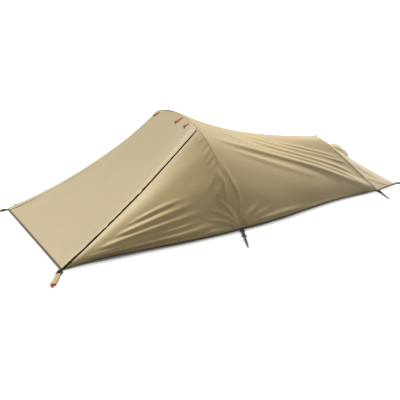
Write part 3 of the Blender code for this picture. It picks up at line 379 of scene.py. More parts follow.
def ripple(grid, seed, amount, across, along, turn=(1, 0, 0)):
    """Slow unevenness of taut cloth: a few long waves in seeded directions."""
    random = np.random.default_rng(seed)
    turn = unit(turn)
    total = np.zeros(grid.shape[:-1])
    for _ in range(RIPPLE_WAVES):
        kick = random.normal(size=3)
        kick -= turn * dot(kick, turn)
        wave = unit(kick) * (2 * math.pi / (across * random.uniform(0.7, 1.6)))
        wave += turn * (2 * math.pi / (along * random.uniform(0.7, 1.6))) * random.choice([-1, 1])
        total += np.sin(grid @ wave + random.uniform(0, 6.28))
    return total * amount / 3


# Materials. A node's inputs are values, or outputs of other nodes, which are linked.


def new_material(name):
    made = bpy.data.materials.new(name)
    made.use_nodes = True
    made.node_tree.nodes.clear()
    return made


def srgb(r, g, b):
    return tuple(((c / 255 + 0.055) / 1.055) ** 2.4 if c > 10 else c / 3295 for c in (r, g, b)) + (1.0,)


def add_node(tree, kind, *places, settings=None, **inputs):
    """A new node. Its inputs are given by place or by name, after the settings that decide which it has."""
    node = tree.nodes.new(kind)
    for key, value in (settings or {}).items():
        setattr(node, key, value)
    for key, value in [*enumerate(places), *inputs.items()]:
        socket = node.inputs[key if isinstance(key, int) else key.replace("_", " ")]
        if isinstance(value, bpy.types.NodeSocket):
            tree.links.new(value, socket)
        else:
            socket.default_value = value
    return node


def calculated(tree, operation, a, b):
    return add_node(tree, "ShaderNodeMath", a, b, settings={"operation": operation}).outputs["Value"]


def ranged(tree, value, low=0.0, high=1.0, to_low=0.0, to_high=1.0):
    node = add_node(tree, "ShaderNodeMapRange", Value=value, From_Min=low, From_Max=high, To_Min=to_low,
                    To_Max=to_high)
    return node.outputs["Result"]


def mixed(tree, factor, a, b):
    node = add_node(tree, "ShaderNodeMix", settings={"data_type": "RGBA"}, Factor=factor, A=a, B=b)
    return node.outputs["Result"]


def noise(tree, place, scale, detail, roughness=0.5):
    node = add_node(tree, "ShaderNodeTexNoise", Vector=place, Scale=scale, Detail=detail, Roughness=roughness)
    return node.outputs["Fac"]


def bumped(tree, height, strength, distance, **normal):
    node = add_node(tree, "ShaderNodeBump", Strength=strength, Distance=distance, Height=height, **normal)
    return node.outputs["Normal"]


def finished(made, **inputs):
    """Closes a material with one shader."""
    shader = add_node(made.node_tree, "ShaderNodeBsdfPrincipled", **inputs)
    add_node(made.node_tree, "ShaderNodeOutputMaterial", Surface=shader.outputs["BSDF"])
    return made


# Painted light: cloth is turned paler where it faces up, and towards the foot end of the tent, at these
# places along it
PAINTED_LIGHT_SLOPE = (0.55, 0.97)
PAINTED_LIGHT_REACH = (0.7, 1.35)
SHEEN_COLOUR = (1.0, 0.97, 0.9, 1.0)
WEAR, GRAIN_STRENGTH, GRAIN_DEPTH = 0.12, 0.2, 0.0002


def woven(name, colour, dark=0.86, thread=0.0009, roughness=0.52, sheen=0.25, bump=0.25, crease=0.4,
          coat=0.0, painted_lit_colour=None):
    """Coated woven cloth: threads both ways, uneven dye, fine creasing, a soft sheen, and painted light that
    turns it paler where it faces up or nears the foot end.
    """
    made = new_material(name)
    tree = made.node_tree
    flat = add_node(tree, "ShaderNodeUVMap", settings={"uv_map": "cloth"}).outputs["UV"]
    body = add_node(tree, "ShaderNodeTexCoord")
    threads = [
        add_node(tree, "ShaderNodeTexWave", settings={"bands_direction": way}, Vector=flat,
                 Scale=1 / (thread * 20), Distortion=0.6, Detail=1.0).outputs["Fac"]
        for way in "XY"
    ]
    weave = calculated(tree, "ADD", *threads)
    dye = ranged(tree, noise(tree, body.outputs["Object"], 3.2, 4.0, 0.55), 0.3, 0.7)
    fine = noise(tree, body.outputs["Object"], 45.0, 5.0, 0.6)
    deep = tuple(c * (0.97 + 0.03 * dark) for c in colour[:3]) + (1,)
    pale = tuple(min(c * 1.04, 1) for c in colour[:3]) + (1,)
    threads_seen = ranged(tree, weave, 0, 2, dark, 1.0 + (1 - dark) * 0.6)
    shade = add_node(tree, "ShaderNodeVectorMath", mixed(tree, dye, deep, pale), Scale=threads_seen,
                     settings={"operation": "SCALE"})
    # Painted light: the colour turns paler where the cloth faces up and towards the foot end
    facing = add_node(tree, "ShaderNodeSeparateXYZ", body.outputs["Normal"]).outputs["Z"]
    along = add_node(tree, "ShaderNodeSeparateXYZ", body.outputs["Object"]).outputs["X"]
    painted_light_share = calculated(tree, "MAXIMUM", ranged(tree, facing, *PAINTED_LIGHT_SLOPE),
                        ranged(tree, along, *PAINTED_LIGHT_REACH))
    painted_light_tint = mixed(tree, painted_light_share, (1, 1, 1, 1), tuple(a / b for a, b in zip(painted_lit_colour or colour, colour)))
    painted_lit_node = add_node(tree, "ShaderNodeVectorMath", shade.outputs["Vector"], painted_light_tint,
                      settings={"operation": "MULTIPLY"})
    raised = bumped(tree, weave, bump, thread * 0.25)
    return finished(
        made, Base_Color=painted_lit_node.outputs["Vector"], Sheen_Weight=sheen, Sheen_Roughness=0.45,
        Sheen_Tint=SHEEN_COLOUR, Specular_IOR_Level=0.35, Coat_Weight=coat, Coat_Roughness=0.4,
        Roughness=ranged(tree, fine, 0, 1, roughness - 0.06, roughness + 0.08),
        Normal=bumped(tree, fine, crease, 0.0025, Normal=raised),
    )


def plastic(name, colour, roughness=0.45, metallic=0.0, grain=400.0):
    """Moulded plastic or metal, with fine grain and slightly paler worn places."""
    made = new_material(name)
    tree = made.node_tree
    place = add_node(tree, "ShaderNodeTexCoord").outputs["Object"]
    fine = noise(tree, place, grain, 4.0)
    worn = ranged(tree, noise(tree, place, 60.0, 3.0), 0.45, 0.75)
    pale = tuple(min(1, c * (1 + WEAR) + WEAR * 0.12) for c in colour[:3]) + (1,)
    return finished(
        made, Base_Color=mixed(tree, worn, colour, pale), Metallic=metallic,
        Roughness=ranged(tree, fine, 0, 1, roughness - 0.08, roughness + 0.12),
        Normal=bumped(tree, fine, GRAIN_STRENGTH, GRAIN_DEPTH),
    )


TAN = woven("fly cloth tan", srgb(203, 187, 152))
# The side cloth is the front's tan cloth darkened and saturated as painted shade; its second colour is
# painted light where it faces up or nears the foot
TAN_SIDE_SHADED = woven("fly cloth tan side painted shade", srgb(195, 174, 127), painted_lit_colour=srgb(225, 206, 164))
# The foot cloth is the same tan made paler as painted light, with more painted light where it faces up
TAN_FOOT_LIT = woven("fly cloth tan foot painted light", srgb(221, 202, 162), painted_lit_colour=srgb(236, 219, 184))
FLAP_TAN = woven("flap cloth tan", srgb(214, 199, 166))
SLEEVE_TAN = woven("sleeve cloth tan", srgb(190, 170, 130), roughness=0.6)
# Painted shade: a dark strip for the crest of the hoop's peak where it turns away from the light
PEAK_SHADE_OLIVE = woven("peak painted shade olive", srgb(96, 90, 60), thread=0.0011, roughness=0.65)
# Partly painted shade: the binding's dark grey also stands for the shade line along the hems
BINDING_AND_HEM_SHADE = woven("edge binding grey and painted hem shade", srgb(104, 98, 78), thread=0.0012, roughness=0.7, sheen=0.3, bump=0.5)
TAPE = woven("zip tape dark", srgb(38, 30, 18), thread=0.0008, roughness=0.8, sheen=0.05, bump=0.6)
FLOOR_CLOTH = woven("floor cloth grey", srgb(96, 97, 93), thread=0.0011, roughness=0.4, sheen=0.1, coat=0.2)
THREAD = woven("sewing thread tan", srgb(222, 205, 166), thread=0.0006, roughness=0.6, bump=0.5)
COIL = woven("zip coil dark", srgb(32, 24, 12), thread=0.0004, roughness=0.8, sheen=0.03)
PIPING = woven("piping light grey", srgb(168, 168, 162), thread=0.001, roughness=0.6, bump=0.6)


# Making pieces


def make_mesh(name, points, faces, finish, uv, body="tent"):
    data = bpy.data.meshes.new(name)
    data.from_pydata([tuple(p) for p in np.asarray(points, float).reshape(-1, 3)], [], faces)
    layer = data.uv_layers.new(name="cloth")
    index = np.empty(len(data.loops), np.int32)
    data.loops.foreach_get("vertex_index", index)
    layer.data.foreach_set("uv", np.asarray(uv, np.float32).reshape(-1, 2)[index].ravel())
    data.shade_smooth()
    data.materials.append(finish)
    data.validate()
    obj = bpy.data.objects.new(name, data)
    bpy.context.scene.collection.objects.link(obj)
    if body:
        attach(obj, body)
    return obj


def grid_faces(rows, columns, closed=False, start=0, flip=False):
    i = np.arange(rows - 1)[:, None]
    j = np.arange(columns if closed else columns - 1)[None, :]
    a, b = i * columns + j, i * columns + (j + 1) % columns
    quads = np.stack([a, b, b + columns, a + columns], -1).reshape(-1, 4) + start
    return (quads[:, ::-1] if flip else quads).tolist()


def cloth_uv(grid):
    """Places on the cloth in metres, along both sides of a grid."""
    along = np.linalg.norm(np.diff(grid, axis=0), axis=-1)
    across = np.linalg.norm(np.diff(grid, axis=1), axis=-1)
    u = np.concatenate([np.zeros((1, grid.shape[1])), np.cumsum(along, 0)])
    v = np.concatenate([np.zeros((grid.shape[0], 1)), np.cumsum(across, 1)], 1)
    return np.stack([u, v], -1)


def mirrored(grid):
    return grid * vec(1, -1, 1)


def on_side(side, *grids):
    return tuple(mirrored(grid) for grid in grids) if side < 0 else grids


def cloth(name, grid, finish, body="tent", thickness=CLOTH, side=1, towards=UP):
    """A thin sheet with both faces and its edges, from a grid of points on its middle surface."""
    grid, towards = on_side(side, np.asarray(grid, float), vec(*towards))
    n = grid_normals(grid, towards)
    rows, columns = grid.shape[:2]
    size = rows * columns
    half = n * thickness / 2
    points = np.concatenate([(grid + half).reshape(-1, 3), (grid - half).reshape(-1, 3)])
    natural = np.cross(np.gradient(grid, axis=0), np.gradient(grid, axis=1))
    flip = dot(natural, n).mean() > 0
    faces = grid_faces(rows, columns, flip=not flip) + grid_faces(rows, columns, start=size, flip=flip)
    ring = [(0, j) for j in range(columns - 1)] + [(i, columns - 1) for i in range(rows - 1)]
    ring += [(rows - 1, j) for j in range(columns - 1, 0, -1)] + [(i, 0) for i in range(rows - 1, 0, -1)]
    ids = [i * columns + j for i, j in ring]
    for a, b in zip(ids, ids[1:] + ids[:1]):
        faces.append([a, b, b + size, a + size] if not flip else [b, a, a + size, b + size])
    uv = cloth_uv(grid).reshape(-1, 2)
    return make_mesh(name, points, faces, finish, np.concatenate([uv, uv]), body)


def area_of(grid):
    a = np.cross(grid[1:, :-1] - grid[:-1, :-1], grid[:-1, 1:] - grid[:-1, :-1])
    b = np.cross(grid[1:, :-1] - grid[1:, 1:], grid[:-1, 1:] - grid[1:, 1:])
    return float(np.linalg.norm(a, axis=-1).sum() + np.linalg.norm(b, axis=-1).sum()) / 2


def bend_with_door(obj):
    """Frees a piece from its parent and bakes where it stands into its mesh."""
    world = obj.matrix_world.copy()
    obj.parent = None
    obj.matrix_world = world
    down = unit(vec(-HEAD_REACH - HINGE[0], 0, -HINGE[2]))
    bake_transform(obj)
    return obj


def tube_along(name, line, radius, finish, body="tent", sides=8, closed=False, flat=1.0, up=UP, caps=True):
    """A round or flattened tube along a line. Its flat sides face up: one direction, or one at each point."""
    line = np.asarray(line, float)
    if closed:
        tangent = unit(np.roll(line, -1, 0) - np.roll(line, 1, 0))
    else:
        tangent = unit(np.gradient(line, axis=0))
    side = unit(np.cross(tangent, np.broadcast_to(np.asarray(up, float), line.shape)))
    top = np.cross(side, tangent)
    angle = np.arange(sides) * 2 * math.pi / sides
    radius = np.broadcast_to(np.asarray(radius, float), (len(line),))
    ring = np.cos(angle)[None, :, None] * side[:, None] + flat * np.sin(angle)[None, :, None] * top[:, None]
    points = line[:, None] + ring * radius[:, None, None]
    rows = len(line)
    faces = grid_faces(rows, sides, closed=True, flip=True)
    if closed:
        last = (rows - 1) * sides
        faces += [[last + (k + 1) % sides, last + k, k, (k + 1) % sides] for k in range(sides)]
    elif caps:
        faces += [list(range(sides)), list(range((rows - 1) * sides, rows * sides))[::-1]]
    length = np.concatenate([[0], np.cumsum(np.linalg.norm(np.diff(line, axis=0), axis=1))])
    uv = np.stack(np.broadcast_arrays(length[:, None], (angle * float(radius.mean()))[None, :]), -1)
    return make_mesh(name, points, faces, finish, uv, body)


def stitches(name, lines, body="tent", pitch=STITCH_PITCH, radius=STITCH_RADIUS, finish=THREAD):
    """Rows of small raised stitches. Each line is (points, outward normals)."""
    points, faces = [], []
    for line, normal in lines:
        line, normal = np.asarray(line, float), np.broadcast_to(np.asarray(normal, float), np.shape(line))
        steps = np.concatenate([[0], np.cumsum(np.linalg.norm(np.diff(line, axis=0), axis=1))])
        count = max(int(steps[-1] / pitch), 1)
        middle = (np.arange(count) + 0.5) * steps[-1] / count

        def between(values, shift=0.0):
            return np.stack([np.interp(middle + shift, steps, values[:, k]) for k in range(3)], -1)

        centre, out = between(line), unit(between(normal))
        along = unit(between(line, pitch * 0.1) - between(line, pitch * -0.1))
        side = unit(np.cross(along, out)) * radius
        reach = along * pitch * STITCH_SHARE / 2
        start = len(points)
        corners = (-reach, -side, out * radius * 1.3, side, -out * radius * 0.6, reach)
        points.extend(np.stack([centre + corner for corner in corners], 1).reshape(-1, 3))
        for base in range(start, start + 6 * count, 6):
            for a, b in ((1, 2), (2, 3), (3, 4), (4, 1)):
                faces += [[base, base + b, base + a], [base + 5, base + a, base + b]]
    points = np.array(points)
    return make_mesh(name, points, faces, finish, points[:, :2], body)


# The fly's panels. A fold is its line in the panel's own two places, its height, half width and soft ends.

GUSSET_FOLDS = [
    ([(0.34, 0.64), (0.56, 0.57), (0.76, 0.50)], 0.0075, 0.010, 0.35, 0.4),
    ([(0.26, 0.555), (0.46, 0.475), (0.80, 0.40)], 0.0120, 0.013, 0.35, 0.4),
    ([(0.15, 0.46), (0.40, 0.36), (0.84, 0.27)], 0.0140, 0.014, 0.30, 0.4),
    ([(0.10, 0.35), (0.33, 0.255), (0.62, 0.20), (0.80, 0.19)], 0.0110, 0.011, 0.30, 0.4),
    ([(0.07, 0.24), (0.33, 0.15), (0.60, 0.115), (0.92, 0.11)], 0.0150, 0.015, 0.25, 0.35),
    ([(0.22, 0.04), (0.48, 0.025), (0.72, 0.03)], 0.0095, 0.011, 0.3, 0.4),
    ([(0.62, 0.015), (0.80, 0.055), (0.97, 0.02)], 0.0080, 0.010, 0.3, 0.3),
    ([(0.78, 0.20), (0.90, 0.12), (0.985, 0.03)], 0.0060, 0.007, 0.4, 0.2),
    ([(0.83, 0.29), (0.93, 0.16), (0.99, 0.04)], 0.0060, 0.006, 0.4, 0.2),
    ([(0.88, 0.40), (0.955, 0.22), (0.993, 0.06)], 0.0055, 0.007, 0.4, 0.2),
    ([(0.90, 0.34), (0.955, 0.45), (0.99, 0.60)], 0.0105, 0.010, 0.3, 0.3),
    ([(0.945, 0.26), (0.978, 0.40), (0.995, 0.54)], 0.0080, 0.008, 0.3, 0.3),
    ([(0.86, 0.44), (0.93, 0.53), (0.985, 0.66)], 0.0055, 0.009, 0.4, 0.3),
    ([(0.92, 0.66), (0.965, 0.69), (0.995, 0.71)], 0.0046, 0.006, 0.4, 0.2),
    ([(0.915, 0.60), (0.965, 0.63), (0.995, 0.655)], 0.0050, 0.006, 0.4, 0.2),
    ([(0.92, 0.73), (0.965, 0.755), (0.995, 0.775)], 0.0040, 0.006, 0.4, 0.2),
    ([(0.94, 0.80), (0.975, 0.82), (0.998, 0.84)], 0.0032, 0.005, 0.4, 0.2),
    ([(0.945, 0.88), (0.975, 0.89), (0.996, 0.90)], 0.0026, 0.005, 0.4, 0.2),
]
WALL_FOLDS = [
    ([(0.02, 12.9), (0.19, 12.7), (0.45, 13.0), (0.72, 12.0), (0.90, 8.6), (0.985, 5.2)],
     0.0165, 0.018, 0.25, 0.2),
    ([(0.06, 11.6), (0.24, 11.0), (0.42, 10.3), (0.70, 8.4)], 0.0075, 0.018, 0.35, 0.5),
    ([(0.30, 14.8), (0.62, 14.4), (0.84, 12.6), (0.985, 7.6)], 0.0110, 0.013, 0.35, 0.25),
    ([(0.24, 18.2), (0.40, 16.2), (0.62, 16.2), (0.86, 14.8), (0.98, 11.5)], 0.0100, 0.012, 0.30, 0.3),
    ([(0.20, 20.4), (0.45, 18.9), (0.70, 17.9), (0.90, 16.2)], 0.0070, 0.011, 0.35, 0.4),
    ([(0.55, 20.2), (0.76, 19.2), (0.985, 17.8)], 0.0070, 0.010, 0.35, 0.25),
    ([(0.66, 18.6), (0.85, 17.4), (0.985, 16.6)], 0.0065, 0.009, 0.35, 0.25),
    ([(0.08, 16.6), (0.18, 15.6), (0.33, 14.9)], 0.0050, 0.010, 0.35, 0.4),
    ([(0.01, 0.7), (0.06, 2.0), (0.14, 3.2)], 0.0105, 0.010, 0.15, 0.5),
    ([(0.01, 0.5), (0.09, 1.5), (0.22, 2.3)], 0.0085, 0.010, 0.15, 0.5),
    ([(0.01, 0.4), (0.10, 0.85), (0.30, 1.1), (0.46, 0.8)], 0.0110, 0.012, 0.15, 0.5),
    ([(0.35, 0.5), (0.60, 0.7), (0.92, 0.4)], 0.0070, 0.012, 0.3, 0.3),
    ([(0.005, 1.3), (0.025, 2.8), (0.05, 4.4)], 0.0070, 0.007, 0.15, 0.5),
    ([(0.004, 9.2), (0.02, 7.6), (0.035, 5.0), (0.03, 3.2)], 0.0080, 0.008, 0.3, 0.4),
    ([(0.95, 2.6), (0.975, 5.5), (0.985, 9.0)], 0.0040, 0.007, 0.3, 0.4),
]
FOOT_FOLDS = [
    ([(0.02, 17.5), (0.30, 16.0), (0.75, 10.0)], 0.0050, 0.013, 0.25, 0.5),
    ([(0.02, 12.5), (0.30, 11.0), (0.80, 6.0)], 0.0040, 0.012, 0.25, 0.5),
    ([(0.02, 30.5), (0.30, 32.0), (0.75, 38.0)], 0.0050, 0.013, 0.25, 0.5),
    ([(0.02, 35.5), (0.30, 37.0), (0.80, 42.0)], 0.0040, 0.012, 0.25, 0.5),
]
DOOR_FOLDS = [
    ([(0.02, -0.86), (0.30, -0.74), (0.60, -0.80)], 0.0024, 0.028, 0.4, 0.5),
    ([(0.02, 0.88), (0.30, 0.76), (0.62, 0.82)], 0.0024, 0.028, 0.4, 0.5),
    ([(0.35, -0.30), (0.70, -0.20), (0.98, -0.45)], 0.0020, 0.050, 0.5, 0.4),
    ([(0.88, -0.70), (0.95, -0.66), (0.995, -0.60)], 0.0024, 0.010, 0.4, 0.2),
    ([(0.90, -0.88), (0.95, -0.86), (0.995, -0.82)], 0.0024, 0.010, 0.4, 0.2),
    ([(0.02, -0.90), (0.07, -0.84), (0.13, -0.80)], 0.0030, 0.008, 0.2, 0.5),
    ([(0.015, -0.94), (0.10, -0.89), (0.20, -0.87)], 0.0030, 0.008, 0.2, 0.5),
    ([(0.10, -0.93), (0.17, -0.89), (0.24, -0.87)], 0.0026, 0.007, 0.3, 0.5),
]


def changed(folds, seed):
    """The same run of folds on the other side: each a little higher or lower, wider or narrower."""
    random = np.random.default_rng(seed)
    return [
        (pairs, height * random.uniform(0.75, 1.15), width * random.uniform(0.85, 1.25), rise, fall)
        for pairs, height, width, rise, fall in folds
    ]


def even(count, low=0.0, high=1.0, ease=0.0):
    """Places from low to high, with an ease of 1 crowding them towards both ends."""
    t = np.linspace(0, 1, count)
    return low + (high - low) * mix(t, t * t * (3 - 2 * t), ease)


def gusset_grid(folds, seed):
    r = even(int(1.2 / CELL), GUSSET_START, 1.0)
    v = even(int(0.75 / CELL), 0.0, 1.0)
    depth = np.linalg.norm(gusset(r, 1.0) - gusset(r, 0.0), axis=-1)
    top = 1 - GUSSET_ZIP_INSET * (1 - 0.9 * smooth(0.94, 0.96, r)) / depth
    vv = v[None, :] * top[:, None]
    base = gusset(r[:, None], vv)
    normal = grid_normals(base, (-0.3, -1, 0.3))
    lift = sum(ridge(base, gusset, fold) for fold in folds)
    lift = lift + ripple(base, seed, 0.0012, 0.16, 0.9, (1, 0.1, 0.35))
    edge = smooth(0, 0.03, 1 - vv) * smooth(0, 0.10, 1 - r)[:, None]
    near_hoop = smooth(0.0, 0.02, 1 - r)[:, None] * smooth(0, 0.03, 1 - vv)
    lift = lift * np.maximum(edge, near_hoop * (r[:, None] > 0.9))
    hem = smooth(0.0, 0.05, vv * depth[:, None] + 0.012)
    grid = on_ground(base + normal * (lift * hem)[..., None])
    wraps = [gusset_wrap(vv[-1], share) for share in WRAPS]
    return np.concatenate([grid, np.stack(wraps)])


def wall_grid(folds, seed):
    u = even(int(1.30 / CELL), 0.0, 1.0)
    row = even(int(0.95 / CELL), 0.0, RIDGE_ROW)
    base = wall(u[:, None], row[None, :])
    normal = grid_normals(base, (0, -1, 1))
    lift = sum(ridge(base, wall, fold) for fold in folds)
    lift = lift + ripple(base, seed, 0.0012, 0.20, 1.1, (1, 0.2, -0.3))
    lift = lift * (smooth(0, 0.02, u) * smooth(0, 0.02, 1 - u))[:, None]
    lift = lift * smooth(0, 0.8, RIDGE_ROW - row)[None, :]
    grid = base + normal * lift[..., None]
    first = [wall_wrap(row, share, False) for share in WRAPS[::-1]]
    last = [wall_wrap(row, share, True) for share in WRAPS]
    grid = np.concatenate([np.stack(first), grid, np.stack(last)])
    grid[..., 1] = np.minimum(grid[..., 1], -0.0003)
    return on_ground(grid)


def foot_grid(seed):
    s = even(int(1.02 / CELL), 0.0, 1.0)
    row = even(97, 0.0, 2 * RIDGE_ROW)
    base = foot(s[:, None], row[None, :])
    normal = grid_normals(base, (0, 0, 1))
    lift = sum(ridge(base, foot, fold) for fold in FOOT_FOLDS) + ripple(base, seed, 0.0008, 0.15, 0.8)
    lift = lift * (smooth(0, 0.03, s) * smooth(0, 0.1, 1 - s))[:, None]
    grid = base + normal * lift[..., None]
    return on_ground(np.concatenate([np.stack([foot_wrap(row, k) for k in WRAPS[::-1]]), grid]))


def front_grid(seed):
    t = even(int(1.15 / CELL), 0.0, 1.0)
    width = np.abs(front_edge(t)[:, 1])
    limit = 1 - ZIP_INSET / width
    q = even(int(1.15 / CELL), -1.0, 1.0)[None, :] * limit[:, None]
    base = front(t[:, None], q)
    normal = grid_normals(base, (-0.5, 0, 1))
    lift = sum(ridge(base, front, fold) for fold in DOOR_FOLDS)
    lift = lift + ripple(base, seed, 0.0014, 0.30, 0.9, (0.8, 0, 0.6))
    lift = lift * (smooth(0, 0.06, t) * smooth(0, 0.03, 1 - t))[:, None] * smooth(0, 0.05, 1 - np.abs(q))
    grid = base + normal * lift[..., None]
    wraps = [front_wrap(q[-1], share) for share in WRAPS]
    return on_ground(np.concatenate([grid, np.stack(wraps)]))


def declare(obj, grid, flat, with_pieces=()):
    share = min(max(area_of(grid) / (flat[0] * flat[1]), 0.301), 1.0)
    return (obj, list(with_pieces))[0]


FRONT = front_grid(3)
FOOT = foot_grid(31)
# The far side's folds differ a little. The last number of each call seeds its ripples.
GUSSETS = {"near": gusset_grid(GUSSET_FOLDS, 11), "far": gusset_grid(changed(GUSSET_FOLDS, 5), 12)}
WALLS = {"near": wall_grid(WALL_FOLDS, 21), "far": wall_grid(changed(WALL_FOLDS, 6), 22)}
SIDES = {"near": 1, "far": -1}
GUSSET_OUT, WALL_OUT, FRONT_OUT = (-0.3, -1, 0.3), (0, -1, 1), (-0.5, 0, 1)

fly_front = bend_with_door(cloth("fly_front", FRONT, TAN, body=None, towards=FRONT_OUT))
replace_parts(fly_front, "door_panel", "brow_panel")
fly_gussets, fly_walls, TRIM = {}, {}, {"front": [], "foot": []}
for name, side in SIDES.items():
    fly_gussets[name] = cloth(f"fly_gusset_{name}", GUSSETS[name], TAN_SIDE_SHADED, side=side, towards=GUSSET_OUT)
    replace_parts(fly_gussets[name], f"gusset_{name}")
    fly_walls[name] = cloth(f"fly_wall_{name}", WALLS[name], TAN_SIDE_SHADED, side=side, towards=WALL_OUT)
    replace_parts(fly_walls[name], f"rear_wall_{name}")
    TRIM[f"gusset_{name}"], TRIM[f"wall_{name}"] = [], []
fly_foot = cloth("fly_foot", FOOT, TAN_FOOT_LIT)
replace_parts(fly_foot, "foot_panel")

# Hems: a grey binding folded round the lower edge of every panel, sewn down with two rows; its dark grey is
# partly painted shade along the foot of each hem

HEM_BAND, HEM_FOOT, HEM_LIFT = 0.0095, 0.0027, 0.0007


def up_the_cloth(edge, inner, distance):
    step = np.linalg.norm(inner - edge, axis=-1, keepdims=True)
    return edge + (inner - edge) * (distance / np.maximum(step, 1e-9))


def hem(name, edge, inner, towards, side=1, body="tent"):
    lift = CLOTH / 2 + HEM_LIFT
    n = grid_normals(np.stack([edge, inner]), towards)[0]
    foot_line = edge + n * (lift - 0.0002)
    foot_line[:, 2] = HEM_FOOT
    rows = [up_the_cloth(edge, inner, HEM_BAND * share) + n * lift for share in (1.0, 0.66, 0.33, 0.1)]
    piece = cloth(name, np.stack([*rows, foot_line]), BINDING_AND_HEM_SHADE, body=body, side=side, towards=towards,
                  thickness=TRIM_CLOTH)
    line = up_the_cloth(edge, inner, HEM_BAND * 0.8) + n * (lift + 0.0006)
    above = up_the_cloth(edge, inner, HEM_BAND * 1.6) + n * (CLOTH / 2 + 0.0002)
    line, above, n = on_side(side, line, above, n)
    return [piece, stitches(f"{name}_stitches", [(line, n), (above, n)], body=body)]


for name, side in SIDES.items():
    grid = GUSSETS[name]
    TRIM[f"gusset_{name}"] += hem(f"hem_gusset_{name}", grid[:-3, 0], grid[:-3, 1], GUSSET_OUT, side)
    grid = WALLS[name]
    TRIM[f"wall_{name}"] += hem(f"hem_wall_{name}", grid[3:-3, 0], grid[3:-3, 1], WALL_OUT, side)
TRIM["front"] += hem("hem_head", FRONT[0], FRONT[1], FRONT_OUT, body="door")
for name, place, inner in (("near", 0, 1), ("far", -1, -2)):
    TRIM["foot"] += hem(f"hem_foot_{name}", FOOT[3:, place], FOOT[3:, inner], (0, -SIDES[name], 1))

# Seams: a flat tape over the crest of each hoop and along the ridge, sewn down both sides

CREST_ROWS, REAR_CREST_ROWS = np.linspace(0.6, 47.4, 190), np.linspace(1.5, 46.5, 120)
PEAK_ROWS = np.linspace(21.6, 26.4, 40)
TAPE_LIFT, RIDGE_TAPE_HALF = 0.0006, 0.004


def crest_tape(name, arch, rows, low, high, finish, above=TAPE_LIFT):
    """A strip over the crest of a hoop, between two angles round its sleeve."""
    centre, out = arch.at(rows), arch.out(rows)
    away = np.broadcast_to(arch.normal, out.shape)
    lift = COVER + CLOTH / 2 + above
    grid = np.stack([arch.round(centre, out, away, a, lift) for a in np.linspace(low, high, 5)])
    piece = cloth(name, on_ground(grid), finish, thickness=THIN_CLOTH)
    edges = (mix(low, high, 0.1), mix(low, high, 0.9))
    lines = [arch.round(centre, out, away, a, lift + 0.0005) for a in edges]
    return [piece, stitches(f"{name}_stitches", [(line, line - centre) for line in lines])]


def ridge_tape():
    u = np.linspace(0.004, 0.996, 120)
    middle = wall(u, np.full_like(u, RIDGE_ROW))
    down = unit(wall(u, np.full_like(u, RIDGE_ROW - 0.4)) - middle)
    lift, edge = vec(0, 0, CLOTH / 2 + TAPE_LIFT), middle + down * RIDGE_TAPE_HALF
    near, far = edge + lift, mirrored(edge) + lift
    top = middle * vec(1, 0, 1) + lift
    rows = np.stack([near, mix(near, top, 0.5), top, mix(far, top, 0.5), far])
    piece = cloth("ridge_tape", rows, TAN_SIDE_SHADED, thickness=THIN_CLOTH)
    lines = [(mix(side, top, 0.25) + lift * 0.4, UP) for side in (near, far)]
    return [piece, stitches("ridge_tape_stitches", lines)]


TRIM["wall_near"] += crest_tape("hoop_crest_tape", HOOP, CREST_ROWS, -0.3, 0.3, TAN_SIDE_SHADED)
TRIM["foot"] += crest_tape("rear_crest_tape", REAR, REAR_CREST_ROWS, -0.35, 0.35, TAN_FOOT_LIT)
# A dark olive strip over the peak, sewn like a tape: painted shade where the crest turns away from the light
TRIM["wall_near"] += crest_tape("hoop_peak_painted_shade", HOOP, PEAK_ROWS, -0.35, 0.9, PEAK_SHADE_OLIVE, 0.0016)
TRIM["wall_near"] += ridge_tape()

# Storm flaps: a folded strip sewn to the door along two rows, its free edge over the zip

FLAP_SEAM, FLAP_SEAM_GAP, FLAP_EDGE_SEAM = 0.036, 0.006, 0.0035
FLAP_START, FLAP_END, FLAP_RISE = 0.006, 0.992, 0.0022
FLAP_ROLL, FLAP_PUCKER, FLAP_PULL, PUCKER_PITCH = 0.0028, 0.0016, 0.0019, 0.023
FLAP_JOGS = ((0.535, 0.016, 0.0055), (0.29, 0.012, 0.0035), (0.70, 0.03, -0.0015), (0.12, 0.03, 0.0015))


def flap_overhang(t):
    """How far the flap's edge stands past the door's: not quite straight, with two small steps."""
    out = 0.0042 + 0.0007 * np.sin(t * 55) + 0.0005 * np.sin(t * 131 + 1)
    return out + sum(height * hump(t, place, width) for place, width, height in FLAP_JOGS)


def flap_point(t, w):
    """A point of the near flap's middle surface, w metres in from the door's edge, and its normal."""
    q = -(1 - w / np.abs(front_edge(t)[..., 1]))
    base = front(t, np.maximum(q, -1)) + column(np.minimum(w, 0)) * vec(0, 1, 0)
    normal = unit(np.cross(ZIP_CHORD, front(t, np.maximum(q, -1) + 0.02) - front(t, np.maximum(q, -1))))
    normal = normal * np.sign(normal[..., 2:3])
    pull = hump(w, FLAP_SEAM, 0.0035) + hump(w, FLAP_SEAM + FLAP_SEAM_GAP, 0.0035)
    roll = hump(w, -0.001, 0.0045)
    pucker = np.sin((t * ZIP_LENGTH + w * 0.8) * 2 * math.pi / PUCKER_PITCH) * smooth(0.0, 0.012, w)
    pucker = pucker * (1 - smooth(0.030, 0.044, w)) * (0.35 + 0.65 * (1 - smooth(0.1, 0.55, t)))
    lift = CLOTH + FLAP_RISE + FLAP_ROLL * roll + FLAP_PUCKER * pucker - FLAP_PULL * pull
    return base + normal * column(lift), normal


